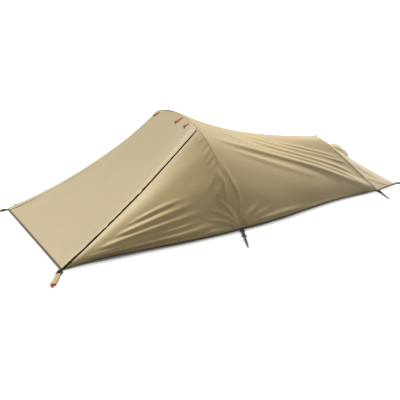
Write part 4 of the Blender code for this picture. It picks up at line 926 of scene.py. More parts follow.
def make_flap(name, side):
    t = even(190, FLAP_START, FLAP_END)
    w = mix(-flap_overhang(t)[:, None], FLAP_WIDTH, np.linspace(0, 1, 26)[None, :])
    grid = flap_point(np.broadcast_to(t[:, None], w.shape), w)[0]
    grid[..., 2] = np.maximum(grid[..., 2], HEM_HEIGHT + 0.002)
    piece = cloth(f"storm_flap_cloth_{name}", grid, FLAP_TAN, body=None, side=side, towards=FRONT_OUT)
    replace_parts(bend_with_door(piece), f"storm_flap_{name}")
    lines = []
    for place in (FLAP_SEAM, FLAP_SEAM + FLAP_SEAM_GAP, FLAP_EDGE_SEAM):
        line, out = flap_point(t, np.full_like(t, place))
        line = line + out * (CLOTH / 2 + 0.0003)
        lines.append(on_side(side, line, out))
    rows = stitches(f"storm_flap_stitches_{name}", lines, body=None, radius=0.0007, finish=THREAD_DARK)
    rows = bend_with_door(rows)
    declare(piece, grid, (FLAP_WIDTH + 0.015, ZIP_LENGTH * 1.05), [rows])


# Zips: the tape on each gusset, its coil, the slider and its pull

TAPE_PLACES = (0.0005, 0.0025, 0.0045, 0.0065, 0.0090)
TAPE_THICKNESS, TAPE_RISE, ZIP_END = 0.0007, 0.0010, 0.955
COIL_PITCH, COIL_OFFSET, COIL_HALF, COIL_RADIUS = 0.0016, 0.0052, 0.0016, 0.00038
COIL_LIFT, COIL_RISE = 0.0002, 0.0003


def below_zip(r, distance, lift):
    """A point of the near gusset a distance below the zip line, raised off the cloth, and its normal."""
    depth = np.linalg.norm(gusset(r, np.ones_like(r)) - gusset(r, np.zeros_like(r)), axis=-1)
    v = 1 - np.minimum(distance, 0.8 * depth * distance / TAPE_PLACES[-1]) / depth
    base = gusset(r, v)
    normal = unit(np.cross(gusset(r, v - 0.01) - base, ZIP_CHORD))
    normal = normal * np.sign(-normal[..., 1:2])
    return base + normal * column(lift), normal


def make_zip(name, side):
    r = even(180, GUSSET_START, ZIP_END)
    lift = CLOTH / 2 + TAPE_RISE
    grid = np.stack([below_zip(r, np.full_like(r, place), np.full_like(r, lift))[0] for place in TAPE_PLACES])
    tape = cloth(f"zip_tape_cloth_{name}", grid, TAPE, side=side, towards=GUSSET_OUT,
                 thickness=TAPE_THICKNESS)
    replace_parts(tape, f"zip_tape_{name}")
    turn = np.arange(int(ZIP_LENGTH * (r[-1] - r[0]) / COIL_PITCH) * 4) * math.pi / 2
    place = np.linspace(r[0], r[-1], len(turn))
    line, normal = below_zip(place, COIL_OFFSET + COIL_HALF * np.cos(turn),
                             lift + COIL_LIFT + COIL_RISE * np.sin(turn))
    line, normal = on_side(side, line, normal)
    coil = tube_along(f"zip_coil_{name}", line, COIL_RADIUS, COIL, sides=4, up=normal)
    declare(tape, grid, (0.014, ZIP_LENGTH * 0.96), [coil])


# Moulded and bent things, in axes of their own: an origin and three directions as rows


def axes(origin, x_axis, z_axis):
    x = unit(x_axis)
    y = unit(np.cross(z_axis, x))
    return np.asarray(origin, float), np.stack([x, y, np.cross(x, y)])


def placed(points, where):
    return where[0] + np.asarray(points, float) @ where[1]


def lofted(name, rings, finish, body, where):
    """A closed skin through rings of points."""
    rings = np.asarray(rings, float)
    rows, sides = rings.shape[:2]
    faces = grid_faces(rows, sides, closed=True)
    faces += [list(range(sides))[::-1], list(range((rows - 1) * sides, rows * sides))]
    around = np.arange(sides)[None, :] * 0.002
    uv = np.stack(np.broadcast_arrays(np.arange(rows)[:, None] * 0.002, around), -1)
    return make_mesh(name, placed(rings.reshape(-1, 3), where), faces, finish, uv, body)


def block(name, sections, finish, body, where, steps=3):
    """A moulded bar along X with rounded corners. Its sections are (x, width, height, corner, y, z)."""
    rings = []
    for x, width, height, corner, y, z in sections:
        ring = []
        for quarter, (sy, sz) in enumerate(((1, 1), (-1, 1), (-1, -1), (1, -1))):
            for k in range(steps + 1):
                angle = (quarter + k / steps) * math.pi / 2
                ring.append((x, y + sy * (width / 2 - corner) + corner * math.cos(angle),
                             z + sz * (height / 2 - corner) + corner * math.sin(angle)))
        rings.append(ring)
    return lofted(name, rings, finish, body, where)


def join(name, parts):
    """One object from several meshes on the same body."""
    with bpy.context.temp_override(active_object=parts[0], selected_editable_objects=parts, object=parts[0]):
        bpy.ops.object.join()
    parts[0].name = parts[0].data.name = name
    return parts[0]


def smooth_line(points, count=40, closed=False):
    """A smooth line through points."""
    points = np.asarray(points, float)
    size = len(points)
    if closed:
        ends = [points[-1:], points, points[:2]]
    else:
        ends = [2 * points[:1] - points[1:2], points, 2 * points[-1:] - points[-2:-1]]
    ends = np.concatenate(ends)
    spans = size if closed else size - 1
    t = np.linspace(0, spans, count, endpoint=not closed)
    k = np.minimum(t.astype(int), spans - 1)
    f = (t - k)[:, None]
    a, b, c, d = (ends[k + shift] for shift in range(4))
    return 0.5 * (2 * b + (c - a) * f + (2 * a - 5 * b + 4 * c - d) * f**2 + (3 * b - a - 3 * c + d) * f**3)


def cord(name, points, radius, finish, body, where, closed=False, count=60, sides=10):
    """A cord through points in axes of its own, with the slight twist of its lay."""
    line = smooth_line(points, count, closed)
    swell = radius * (1 + 0.05 * np.sin(np.arange(count) * 2.4))
    return tube_along(name, placed(line, where), swell, finish, body, sides=sides, closed=closed,
                      up=where[1][2])


def ribbon(name, side_view, width, thickness, finish, body, where, count=60):
    """A strip of webbing along a side view of (x, z) pairs, with thick rounded edges."""
    line = smooth_line(side_view, count)
    across = np.linspace(-width / 2, width / 2, 9)
    grid = np.stack(np.broadcast_arrays(line[:, None, 0], across[None, :], line[:, None, 1]), -1)
    return cloth(name, placed(grid, where), finish, body=body, thickness=thickness, towards=where[1][2])


def ribbed_tab(name, x, z, length, width, finish, body, where):
    """A small plate with grip ridges."""
    sections = []
    for k in range(13):
        rise = 0.0004 if k % 2 else 0.0
        sections.append((x + length * k / 12, width, 0.0014 + rise, 0.0006, 0, z + rise / 2))
    return block(name, sections, finish, body, where)


def joint_named(name):
    return next(joint for joint in frame["joints"] if joint["name"] == name)


def make_slider(name, side):
    joint = joint_named(f"zip_pull_{name}")
    start = front_edge(SLIDER_START + 0.01) - front_edge(SLIDER_START - 0.01)
    y_axis = unit(joint["axis"])
    x_axis = start * vec(1, side, 1)
    x_axis = unit(x_axis - y_axis * dot(x_axis, y_axis))
    z_axis = np.cross(x_axis, y_axis)
    where = axes(joint["pos_m"], x_axis, z_axis if z_axis[1] * side < 0 else -z_axis)
    body, middle = f"zip_slider_{name}", -0.00365
    plate = block("part", [
        (-0.0098, 0.0036, 0.0026, 0.0008, 0, middle), (-0.0090, 0.0048, 0.0034, 0.0010, 0, middle),
        (-0.0010, 0.0050, 0.0038, 0.0010, 0, middle), (0.0045, 0.0068, 0.0038, 0.0010, 0, middle),
        (0.0058, 0.0060, 0.0028, 0.0008, 0, middle),
    ], SLIDER_FINISH, body, where)
    turn = np.linspace(-0.15, math.pi + 0.15, 15)
    bridge = placed(np.stack([0.004 * np.cos(turn), 0 * turn, -0.0016 + 0.0031 * np.sin(turn)], -1), where)
    bridge = tube_along("part", bridge, 0.0005, SLIDER_FINISH, body, up=where[1][1])
    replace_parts(join(f"zip_slider_body_{name}", [plate, bridge]), f"zip_slider_{name}")
    body = f"zip_pull_{name}"
    turn = np.arange(16) * math.pi / 8
    eye = placed(np.stack([-0.0030 + 0.0030 * np.cos(turn), 0.0021 * np.sin(turn), 0 * turn], -1), where)
    eye = tube_along("part", eye, 0.0005, SLIDER_FINISH, body, closed=True, up=where[1][2])
    loop = [(-0.0050, 0.0), (-0.0085, 0.0017), (-0.0200, 0.0019), (-0.0260, 0.0016), (-0.0280, 0.0)]
    loop = [(x, y, 0.0) for x, y in loop] + [(x, -y, 0.0) for x, y in loop[-2:0:-1]]
    string = cord("part", loop, 0.0008, CORD_DARK, body, where, closed=True)
    grip = block("part", [
        (-0.0252, 0.0030, 0.0014, 0.0006, 0, 0), (-0.0260, 0.0050, 0.0017, 0.0008, 0, 0),
        (-0.0290, 0.0056, 0.0018, 0.0008, 0, 0), (-0.0318, 0.0052, 0.0017, 0.0008, 0, 0),
        (-0.0334, 0.0036, 0.0012, 0.0005, 0, 0),
    ], BLACK_PLASTIC, body, where)
    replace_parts(join(f"zip_pull_cord_{name}", [eye, string, grip]), f"zip_pull_{name}")


SLIDER_START = 0.055
BLACK_PLASTIC = plastic("buckle plastic black", srgb(30, 30, 31), 0.38)
SLIDER_FINISH = plastic("slider enamel dark", srgb(44, 42, 38), 0.38, grain=600)
CORD_DARK = woven("pull cord dark", srgb(46, 42, 34), thread=0.0006, roughness=0.7)
CORD_RED = woven("tie cord red", srgb(196, 38, 34), thread=0.0006, roughness=0.6, bump=0.6)
RIBBON_RED = woven("tie ribbon red", srgb(214, 62, 54), thread=0.0007, roughness=0.6, bump=0.6)
PEG_CORD_RED = woven("peg cord red brown", srgb(160, 52, 44), thread=0.0006, roughness=0.65, bump=0.6)
WEBBING_BLACK = woven("webbing black", srgb(27, 27, 28), thread=0.0014, roughness=0.65, bump=0.9)
WEBBING_TAN = woven("webbing tan", srgb(196, 170, 126), thread=0.0014, roughness=0.65, bump=0.9)
PEG_METAL = plastic("peg anodised", srgb(168, 160, 140), 0.32, 1.0, grain=900)
POLE_FINISH = plastic("pole anodised dark", srgb(58, 60, 64), 0.35, 0.8, grain=900)
STEEL = plastic("ferrule steel", srgb(180, 182, 184), 0.28, 1.0, grain=900)
NET = woven("insect net black", srgb(34, 34, 34), thread=0.0016, roughness=0.8, dark=0.3, bump=1.0)
THREAD_DARK = woven("sewing thread brown", srgb(140, 120, 84), thread=0.0006, roughness=0.6, bump=0.5)
THREAD_BLACK = woven("sewing thread black", srgb(44, 44, 44), thread=0.0006, roughness=0.6, bump=0.5)

for name, side in SIDES.items():
    make_flap(name, side)
    make_zip(name, side)
    make_slider(name, side)

# Hoops: poles, joining tubes and the sleeves round them

POLE_ROWS = (13, 35)
FERRULE_RADIUS, FERRULE_HALF_LENGTH = 0.0055, 0.025
POLE_FOOT_HEIGHT, SLEEVE_FOOT_HEIGHT = 0.0045, 0.035


def row_at_height(arch, height):
    rows = np.linspace(0, RIDGE_ROW, 2000)
    return float(np.interp(height, arch.at(rows)[:, 2], rows))


def hoop_tube(name, arch, low, high, count, radius, finish, sides=12, caps=True):
    return tube_along(name, arch.at(np.linspace(low, high, count)), radius, finish, sides=sides,
                      up=arch.normal, caps=caps)


def make_sleeve(name, arch, count):
    low = row_at_height(arch, SLEEVE_FOOT_HEIGHT)
    sleeve = hoop_tube(f"{name}_cloth", arch, low, 2 * RIDGE_ROW - low, count, arch.radius, SLEEVE_TAN,
                       caps=False)
    wall_of_it = sleeve.modifiers.new("Cloth", "SOLIDIFY")
    wall_of_it.thickness = SLEEVE_WALL
    wall_of_it.offset = -1
    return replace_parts(sleeve, name)


low = row_at_height(HOOP, POLE_FOOT_HEIGHT)
ends = (low, *POLE_ROWS, 2 * RIDGE_ROW - low)
for k, name in enumerate(("near", "middle", "far")):
    pole = hoop_tube(f"pole_{name}", HOOP, ends[k] + 0.01 * (k > 0), ends[k + 1] - 0.01 * (k < 2), 70,
                     POLE_RADIUS, POLE_FINISH)
    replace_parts(pole, f"hoop_pole_{name}")
for name, place in zip(("near", "far"), POLE_ROWS):
    reach = FERRULE_HALF_LENGTH / float(np.linalg.norm(HOOP.at(place + 0.5) - HOOP.at(place - 0.5)))
    piece = hoop_tube(f"ferrule_{name}", HOOP, place - reach, place + reach, 14, FERRULE_RADIUS, STEEL, 16)
    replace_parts(piece, f"hoop_ferrule_{name}")
low = row_at_height(REAR, POLE_FOOT_HEIGHT)
pole = hoop_tube("rear_pole", REAR, low, 2 * RIDGE_ROW - low, 120, REAR_POLE_RADIUS, POLE_FINISH)
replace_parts(pole, "rear_hoop_pole")
make_sleeve("hoop_sleeve", HOOP, 180)
make_sleeve("rear_hoop_sleeve", REAR, 130)

# The vent: a hood held open over a netted hole in the foot panel, with a piped mouth

VENT_BACK, VENT_MOUTH, VENT_HALF_WIDTH = 1.135, 1.290, 0.066
VENT_HEIGHT, VENT_LIP_HEIGHT, VENT_LIFT = 0.046, 0.034, 0.003125
VENT_BACK_WIDTH, VENT_SWELL_END, VENT_FALL_START = 0.45, 0.65, 0.6
VENT_HOLE_START, VENT_HOLE_END, VENT_HOLE_HALF_WIDTH = 1.19, 1.265, 0.030
RIM_RADIUS = 0.0022


def foot_heights(x, across):
    """How high the foot panel is at a place along the tent and places across it."""
    s, row = np.linspace(0, 0.6, 160), np.linspace(2, 2 * RIDGE_ROW - 2, 181)
    grid = foot(s[:, None], row[None, :])
    side = [float(np.interp(x, grid[:, k, 0], grid[:, k, 1])) for k in range(len(row))]
    high = [float(np.interp(x, grid[:, k, 0], grid[:, k, 2])) for k in range(len(row))]
    return np.interp(across, side, high)


def vent_row(share, turn, shrink=0.0):
    x = mix(VENT_BACK, VENT_MOUTH, share)
    half = VENT_HALF_WIDTH * mix(VENT_BACK_WIDTH, 1.0, math.sin(math.pi / 2 * share)) - shrink
    across = -half * np.cos(math.pi * turn)
    swell = math.sin(math.pi / 2 * min(share / VENT_SWELL_END, 1.0)) * VENT_HEIGHT
    height = mix(swell, VENT_LIP_HEIGHT, smooth(VENT_FALL_START, 1.0, share)) - shrink
    z = foot_heights(x, across) + VENT_LIFT + height * np.sin(math.pi * turn)
    return np.stack([np.full_like(across, x), across, z], -1)


def make_vent():
    turn = np.linspace(0, 1, 41)
    grid = np.stack([vent_row(share, turn) for share in np.linspace(0, 1, 26)])
    grid[..., 2] += 0.0006 * np.sin(grid[..., 0] * 90 + grid[..., 1] * 60) * np.sin(math.pi * turn)
    hood = cloth("vent_hood_cloth", grid, TAN_FOOT_LIT)
    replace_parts(hood, "vent_hood")
    rim = vent_row(1.0, np.linspace(0, 1, 41)) + vec(RIM_RADIUS + 0.001, 0, 0)
    piping = tube_along("vent_piping", rim, RIM_RADIUS, PIPING, sides=12, up=(1, 0, 0))
    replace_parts(piping, "vent_rim")
    up = vec(0, 0, 1)
    lines = [(vent_row(0.93, turn[2:-2]) + up * 0.0008, up), (vent_row(0.90, turn[2:-2]) + up * 0.0008, up)]
    for k in (1, -2):
        lines.append((grid[:, k] + up * 0.0007, up))
    rows = stitches("vent_hood_stitches", lines)
    declare(hood, grid, (0.19, 0.19), [rows, piping])
    x = np.linspace(VENT_HOLE_START - 0.004, VENT_HOLE_END + 0.004, 14)
    across = np.linspace(-VENT_HOLE_HALF_WIDTH - 0.003, VENT_HOLE_HALF_WIDTH + 0.003, 14)
    rows = [np.stack([np.full_like(across, k), across, foot_heights(k, across) + 0.0016], -1) for k in x]
    net = cloth("vent_net_cloth", np.stack(rows), NET, thickness=THIN_CLOTH)
    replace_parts(net, "vent_net")


make_vent()

# The floor tray, and the net wall and door inside

NET_TOP, NET_TOP_HEIGHT, NET_DOOR_SILL, NET_DOOR_BORDER = 0.245, 0.640, 0.050, 0.060
NET_SIDE_CLEARANCE, NET_ROUND, NET_WIDTH_KEPT, NET_GAP, NET_SILL = 0.0112, 6, 0.86, 0.0005, 0.00105
FLOOR_STATIONS = (0.535, 0.66, 0.79, 0.90)
FLOOR_WALL_STATIONS = (0.06, 0.16, 0.27, 0.39, 0.52, 0.65, 0.77, 0.87, 0.95)
FLOOR_INWARD, FLOOR_SIDE_SLOPE, FLOOR_END_SLOPE, FLOOR_LEVEL = 0.0038, 0.018, 0.008, 0.001


def first_at(line, height):
    """The point of a line that rises to a height."""
    place = np.interp(height, line[:, 2], np.arange(len(line)))
    return np.array([np.interp(place, np.arange(len(line)), line[:, k]) for k in range(3)])


def gusset_at_height(r):
    return first_at(gusset(r, np.linspace(0, 0.6, 400)), FLOOR_WALL_HEIGHT)


def end_row(corner):
    return [vec(corner[0], mix(corner[1], -corner[1], j / 7), corner[2]) for j in range(8)]


def make_floor():
    inward = vec(0, FLOOR_INWARD, 0)
    rim = [gusset_at_height(r) + inward for r in FLOOR_STATIONS]
    seam = first_at(HOOP.seam(np.linspace(0, 8, 800)), FLOOR_WALL_HEIGHT)
    rim.append(seam + inward + vec(0, SLEEVE_RADIUS * (1 + SEAM_RISE), 0))
    for u in FLOOR_WALL_STATIONS:
        rim.append(first_at(wall(u, np.linspace(0, 20, 800)), FLOOR_WALL_HEIGHT) + inward)
    head = vec(rim[0][0] - FLOOR_END_SLOPE, rim[0][1], FLOOR_WALL_HEIGHT)
    foot_end = rim[-1] + vec(FLOOR_END_SLOPE, FLOOR_END_SLOPE, 0)
    rows = [end_row(head)]
    for point in rim:
        turn = point[1] + FLOOR_SIDE_SLOPE
        flat = [vec(point[0], mix(turn, -turn, step / 5), FLOOR_LEVEL) for step in range(6)]
        rows.append([point, *flat, mirrored(point)])
    rows.append(end_row(foot_end))
    grid = np.array(rows)
    for axis, times in ((0, 9), (1, 6)):
        place = np.linspace(0, grid.shape[axis] - 1, (grid.shape[axis] - 1) * times + 1)
        low = np.minimum(place.astype(int), grid.shape[axis] - 2)
        shape = [1, 1, 1]
        shape[axis] = -1
        grid = mix(grid.take(low, axis), grid.take(low + 1, axis), (place - low).reshape(shape))
    flat = smooth(0.02, 0.004, grid[..., 2])
    creases = np.maximum(ripple(grid * vec(1, 1, 0), 51, 0.0011, 0.13, 0.35), 0)
    grid[..., 2] += creases * flat
    tray = cloth("floor_tray_cloth", grid, FLOOR_CLOTH, thickness=0.0012)
    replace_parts(tray, "floor_tray")
    lines = []
    for edge, step in ((grid[3:-3, 1], 1), (grid[3:-3, -2], -1)):
        lines.append((edge + vec(0, step * 0.0009, 0), vec(0, step, 0.2)))
    lines.append((grid[1, 3:-3] + vec(0.0009, 0, 0), vec(1, 0, 0.2)))
    rows = stitches("floor_rim_stitches", lines, finish=THREAD_BLACK)
    declare(tray, grid, (1.25, 2.10), [rows])
    return head[0]


def net_half_width(share, start, slope):
    point = start + slope * share
    v = np.linspace(0.02, 1.0, 120)
    low, high = np.zeros_like(v), np.ones_like(v)
    for _ in range(40):
        middle = (low + high) / 2
        short = gusset(middle, v)[:, 0] < point[0]
        low, high = np.where(short, middle, low), np.where(short, high, middle)
    found = gusset(low, v)
    return float(np.interp(point[2], found[:, 2], -found[:, 1])) - NET_SIDE_CLEARANCE


def make_net(head_x):
    start = vec(head_x, 0, FLOOR_WALL_HEIGHT)
    slope = vec(-NET_TOP, 0, NET_TOP_HEIGHT) - start
    length = float(np.linalg.norm(slope))
    up, out = slope / length, unit(np.cross(slope, vec(0, 1, 0)))
    widths = [net_half_width(k / 60, start, slope) for k in range(61)]

    def outline(inset, low, high, samples=40):
        y = mix(low, high, np.sin(math.pi / 2 * np.arange(samples + 1) / samples))
        taper = np.sqrt(np.maximum(1 - ((y - low) / (high - low)) ** NET_ROUND, 0))
        half = np.interp(np.minimum(y / length, NET_WIDTH_KEPT), np.arange(61) / 60, widths)
        half = (half - inset) * taper
        foot_row = np.linspace(-half[0], half[0], 25)[1:-1]
        right = np.stack([half, y], -1)
        left = np.stack([-half[::-1], y[::-1]], -1)
        below = np.stack([foot_row, np.full_like(foot_row, low)], -1)
        return np.concatenate([right, left[1:], below, right[:1]])

    def in_space(pairs):
        pairs = np.asarray(pairs)
        return start + column(pairs[..., 0]) * vec(0, 1, 0) + column(pairs[..., 1]) * up

    outer = outline(0.0, NET_SILL, length)
    hole = outline(NET_DOOR_BORDER, NET_DOOR_SILL, length - NET_DOOR_BORDER)
    leaf = outline(NET_DOOR_BORDER + NET_GAP, NET_DOOR_SILL + NET_GAP, length - NET_DOOR_BORDER - NET_GAP)
    rows = np.stack([mix(outer, hole, k / 5) for k in range(6)])
    wall_net = cloth("net_wall_cloth", in_space(rows), NET, towards=tuple(out), thickness=THIN_CLOTH)
    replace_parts(wall_net, "net_wall")
    line = in_space(hole[:-1][2:78]) - out * 0.0006
    zip_line = tube_along("net_door_zip", line, 0.0010, COIL, sides=6, up=out)
    declare(wall_net, in_space(rows), (0.80, 0.85), [zip_line])
    middle = leaf.mean(axis=0)
    rows = np.stack([mix(leaf, middle, k / 9) for k in range(9)] + [mix(leaf, middle, 0.97)])
    door_net = cloth("net_door_cloth", in_space(rows), NET, body="net_door", towards=tuple(out),
                     thickness=THIN_CLOTH)
    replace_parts(door_net, "net_door")
    edge = mix(leaf, middle, 0.012)[:-1]
    binding = tube_along("net_door_binding", in_space(edge), 0.0014, WEBBING_BLACK, body="net_door", sides=6,
                         closed=True, flat=0.5, up=out)
    declare(door_net, in_space(rows), (0.70, 0.75), [binding])


make_net(make_floor())

# The ties for the rolled door

TIES = {
    "far": (0.985, 0.33, 55, 0.052),
    "middle": (0.991, -0.61, 33, 0.052),
    "near": (0.989, -0.83, 25, 0.036),
}
TIE_WIDTH, TIE_RIBBON_WIDTH, TIE_CORD_RADIUS, TIE_LIFT = 0.013, 0.0122, 0.0016, 0.0031
TOGGLE_LENGTH, TOGGLE_RADIUS, TOGGLE_RISE, SLOPE_STEP = 0.020, 0.0035, 0.0011, 0.03
TOGGLE_REACH, TOGGLE_BREADTH, TOGGLE_ROUNDING = TOGGLE_LENGTH * 0.31, TOGGLE_RADIUS * 1.76, 0.49
# A toggle's outline: places along its half length, and the share of its radius at each
TOGGLE_OUTLINE = (
    (-1, 0.55), (-0.96, 0.8), (-0.86, 0.97), (-0.5, 1.0), (-0.22, 0.96), (-0.15, 0.72),
    (0.15, 0.72), (0.22, 0.96), (0.5, 1.0), (0.86, 0.97), (0.96, 0.8), (1, 0.55),
)


def turned_about(vector, axis, angle):
    axis = unit(axis)
    return (vector * math.cos(angle) + np.cross(axis, vector) * math.sin(angle)
            + axis * dot(axis, vector) * (1 - math.cos(angle)))


def make_tie(name, t, q, degrees, length):
    top = front_plain(np.array(t), np.array(q))
    down = front_plain(np.array(t - SLOPE_STEP), np.array(q)) - top
    across = front_plain(np.array(t), np.array(q + 0.01)) - front_plain(np.array(t), np.array(q - 0.01))
    normal = unit(np.cross(down, across))
    normal = normal * np.sign(normal[2])
    where = axes(top, turned_about(down, normal, -math.radians(degrees)), normal)
    half, body = TIE_WIDTH / 2, f"tie_loop_{name}"
    loop = [(0.004, 0.0), (0.006, half * 0.5), (length * 0.35, half * 0.95), (length * 0.7, half),
            (length - half, half), (length - half * 0.2, half * 0.7), (length, 0.0)]
    loop = [(x, y, TIE_LIFT) for x, y in loop] + [(x, -y, TIE_LIFT) for x, y in loop[-2:0:-1]]
    string = cord("part", loop, TIE_CORD_RADIUS, CORD_RED, body, where, closed=True, count=90)
    path = [(-0.002, 0.0022), (length * 0.3, 0.0023), (length * 0.72, 0.0026), (length * 0.74, 0.0032),
            (length * 0.7, 0.0040), (length * 0.3, 0.0042), (0.0, 0.0036)]
    tab = ribbon("part", path, TIE_RIBBON_WIDTH, 0.0010, RIBBON_RED, body, where)
    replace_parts(join(f"tie_cord_{name}", [string, tab]), f"tie_loop_{name}")
    rise = TIE_LIFT + TIE_CORD_RADIUS + TOGGLE_RISE + TOGGLE_RADIUS
    where = axes(placed([length, 0, rise], where), where[1][1], where[1][2])
    sections = []
    for x, share in TOGGLE_OUTLINE:
        size = TOGGLE_BREADTH * share
        sections.append((x * TOGGLE_REACH, size, size, size * TOGGLE_ROUNDING, 0, 0))
    toggle = block(f"toggle_{name}", sections, BLACK_PLASTIC, f"tie_toggle_{name}", where)
    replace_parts(toggle, f"tie_toggle_{name}")


for name, values in TIES.items():
    make_tie(name, *values)

# Corners: the sewn tab, the buckle, the strap through it, and the cord and peg

ANCHORS = {
    "head_near": ((-HEAD_REACH, -HEAD_WIDTH / 2), (-0.43, -0.90)),
    "head_far": ((-HEAD_REACH, HEAD_WIDTH / 2), (-0.90, -0.43)),
    "middle_near": ((0.0, -HOOP_WIDTH / 2), (-0.46, -0.89)),
    "middle_far": ((0.0, HOOP_WIDTH / 2), (-0.46, 0.89)),
    "foot_near": ((FOOT_REACH, -FOOT_WIDTH / 2), (-0.50, -0.87)),
    "foot_far": ((FOOT_REACH, FOOT_WIDTH / 2), (-0.50, 0.87)),
    "tip": ((TIP_REACH, 0.0), (0.80, -0.60)),
}
# A buckle's side rail: x, width, height and corner
BUCKLE_RAIL = (
    (0.0222, 0.0022, 0.0030, 0.0009), (0.0235, 0.0032, 0.0056, 0.0014), (0.0300, 0.0034, 0.0066, 0.0015),
    (0.0500, 0.0034, 0.0070, 0.0015), (0.0548, 0.0032, 0.0056, 0.0014), (0.0558, 0.0022, 0.0034, 0.0009),
)
STRAP_REACH = {"head": 0.130, "middle": 0.095, "foot": 0.035, "tip": 0.030}
BUCKLE_END, BUCKLE_HEIGHT, WEBBING_WIDTH = 0.056, 0.0050, 0.020
HOLE_RADIUS, TAB_LENGTH, STITCHED_HALF, STRAP_START = 0.0030, 0.085, 0.008, 0.0315
SEWN_END = ((0.014, 0.0044), (0.006, 0.0033), (0.001, 0.0031))
PEG_CORD_LENGTH, PEG_CORD_HALF, PEG_CORD_RADIUS = 0.038, 0.013, 0.0019
PEG_DROP, PEG_LENGTH, PEG_OVERLAP, PEG_SHEET = 0.0012, 0.175, 0.004, 0.0007
# A bent-sheet peg's outline: places along it, and the share of its full width at each
PEG_OUTLINE = (
    (0.0, 1.0), (0.0015, 1.0), (0.004, 1.0), (0.02, 0.96), (0.06, 0.84), (0.10, 0.68), (0.14, 0.48),
    (0.165, 0.28), (0.1735, 0.12), (PEG_LENGTH, 0.03),
)


def row_across(x, z, where):
    """A line for stitches across webbing, and the way that they stand up."""
    y = np.linspace(-STITCHED_HALF, STITCHED_HALF, 9)
    return placed(np.stack([np.full_like(y, x), y, np.full_like(y, z)], -1), where), where[1][2]


def make_buckle(name, where):
    path = [(-0.020, 0.0014), (0.006, 0.0014), (0.015, 0.0017), (0.0205, 0.0022), (0.0245, 0.0023),
            (0.0272, 0.0050), (0.0245, 0.0077), (0.0205, 0.0068), *SEWN_END]
    tab = ribbon(f"tab_{name}", path, WEBBING_WIDTH, 0.0014, WEBBING_BLACK, "tent", where, count=90)
    places = (0.0045, 0.0085, 0.0125)
    heights = np.interp(places, *zip(*SEWN_END[::-1])) + 0.0008
    lines = [row_across(x, z, where) for x, z in zip(places, heights)]
    sewing = stitches(f"tab_stitches_{name}", lines, pitch=0.0022, finish=THREAD_BLACK)
    parts = []
    for y in (-0.0118, 0.0118):
        rail = [(*section, y, BUCKLE_HEIGHT) for section in BUCKLE_RAIL]
        parts.append(block("part", rail, BLACK_PLASTIC, "tent", where))
    across = np.stack([np.zeros(2), [-0.0120, 0.0120], np.zeros(2)], -1)
    for x, z, radius in ((0.0243, 0.0050, 0.0016), (0.0400, 0.0078, 0.0013), (0.0540, 0.0026, 0.0014)):
        bar = placed(across + vec(x, 0, z), where)
        parts.append(tube_along("part", bar, radius, BLACK_PLASTIC, sides=10, up=where[1][2]))
    parts.append(ribbed_tab("part", 0.0440, 0.0086, 0.0110, 0.0190, BLACK_PLASTIC, "tent", where))
    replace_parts(join(f"buckle_frame_{name}", parts), f"buckle_{name}")
    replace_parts(tab, f"buckle_{name}")


def make_strap(name, where, end):
    body, start, hole = f"strap_{name}", STRAP_START, HOLE_RADIUS
    turn = np.linspace(math.radians(115), math.radians(-115), 13)
    path = [(start, 0.0051), (0.045, 0.0051), (0.060, 0.0054), (end - 0.014, 0.0057)]
    path += [(end + hole * math.cos(a), BUCKLE_HEIGHT + hole * math.sin(a)) for a in turn]
    path += [(end - 0.012, 0.0040), (end - 0.019, 0.0040), (end - 0.023, 0.0040)]
    finish, thread = (WEBBING_TAN, THREAD) if name.startswith("head") else (WEBBING_BLACK, THREAD_BLACK)
    strap = ribbon(f"strap_webbing_{name}", path, WEBBING_WIDTH * 0.97, 0.0012, finish, body, where,
                   count=110)
    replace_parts(strap, f"strap_{name}")
    lines = [row_across(end - back, 0.0064, where) for back in (0.0190, 0.0165, 0.0140)]
    sewing = stitches(f"strap_stitches_{name}", lines, body=body, pitch=0.0020, finish=thread)


def make_peg(name, where, end):
    body = f"cord_loop_{name}" if name == "head_near" else f"peg_{name}"
    where = axes(placed([end, 0, BUCKLE_HEIGHT], where), where[1][0], where[1][2])
    half, reach, drop, radius = PEG_CORD_HALF, PEG_CORD_LENGTH, PEG_DROP, PEG_CORD_RADIUS
    if name == "head_near":
        half, reach, radius = half * 0.72, reach * 0.85, radius * 1.3
    loop = [(0, 0, 0), (0, half * 0.75, 0), (0.003, half + 0.0015, 0), (0.009, half * 0.80, -drop * 0.3),
            (reach * 0.5, half * 0.32, -drop * 0.6), (reach * 0.9, half * 0.17, -drop), (reach, 0, -drop)]
    loop = loop + [(x, -y, z) for x, y, z in loop[-2:0:-1]]
    finish = CORD_RED if name == "head_near" else PEG_CORD_RED
    string = cord(f"cord_{name}", loop, radius, finish, body, where, closed=True, count=100)
    if name == "head_near":
        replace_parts(string, body)
        return
    start = reach - PEG_OVERLAP
    rings = []
    for x, share in PEG_OUTLINE:
        wide, deep = 0.0060 * share + 0.0004, 0.0032 * share + 0.0003
        lip, edge = wide * 0.78, deep * 0.75
        ring = [(-wide, edge), (-lip, deep), (0, PEG_SHEET - edge), (lip, deep), (wide, edge),
                (wide * 0.82, edge - PEG_SHEET), (PEG_SHEET, -deep * 0.9), (-PEG_SHEET, -deep * 0.9),
                (-wide * 0.82, edge - PEG_SHEET)]
        rings.append([(start + x, y, z - drop) for y, z in ring])
    shaft = lofted("part", rings, PEG_METAL, body, where)
    shaft.data.shade_flat()
    hook = [(start + 0.002, 0.0, -drop + 0.001), (start + 0.003, 0.004, -drop + 0.0012),
            (start + 0.0045, 0.0068, -drop + 0.0012)]
    hook = tube_along("part", placed(hook, where), 0.0011, PEG_METAL, body, sides=8, up=where[1][2])
    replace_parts(join(f"peg_stake_{name}", [shaft, hook, string]), body)


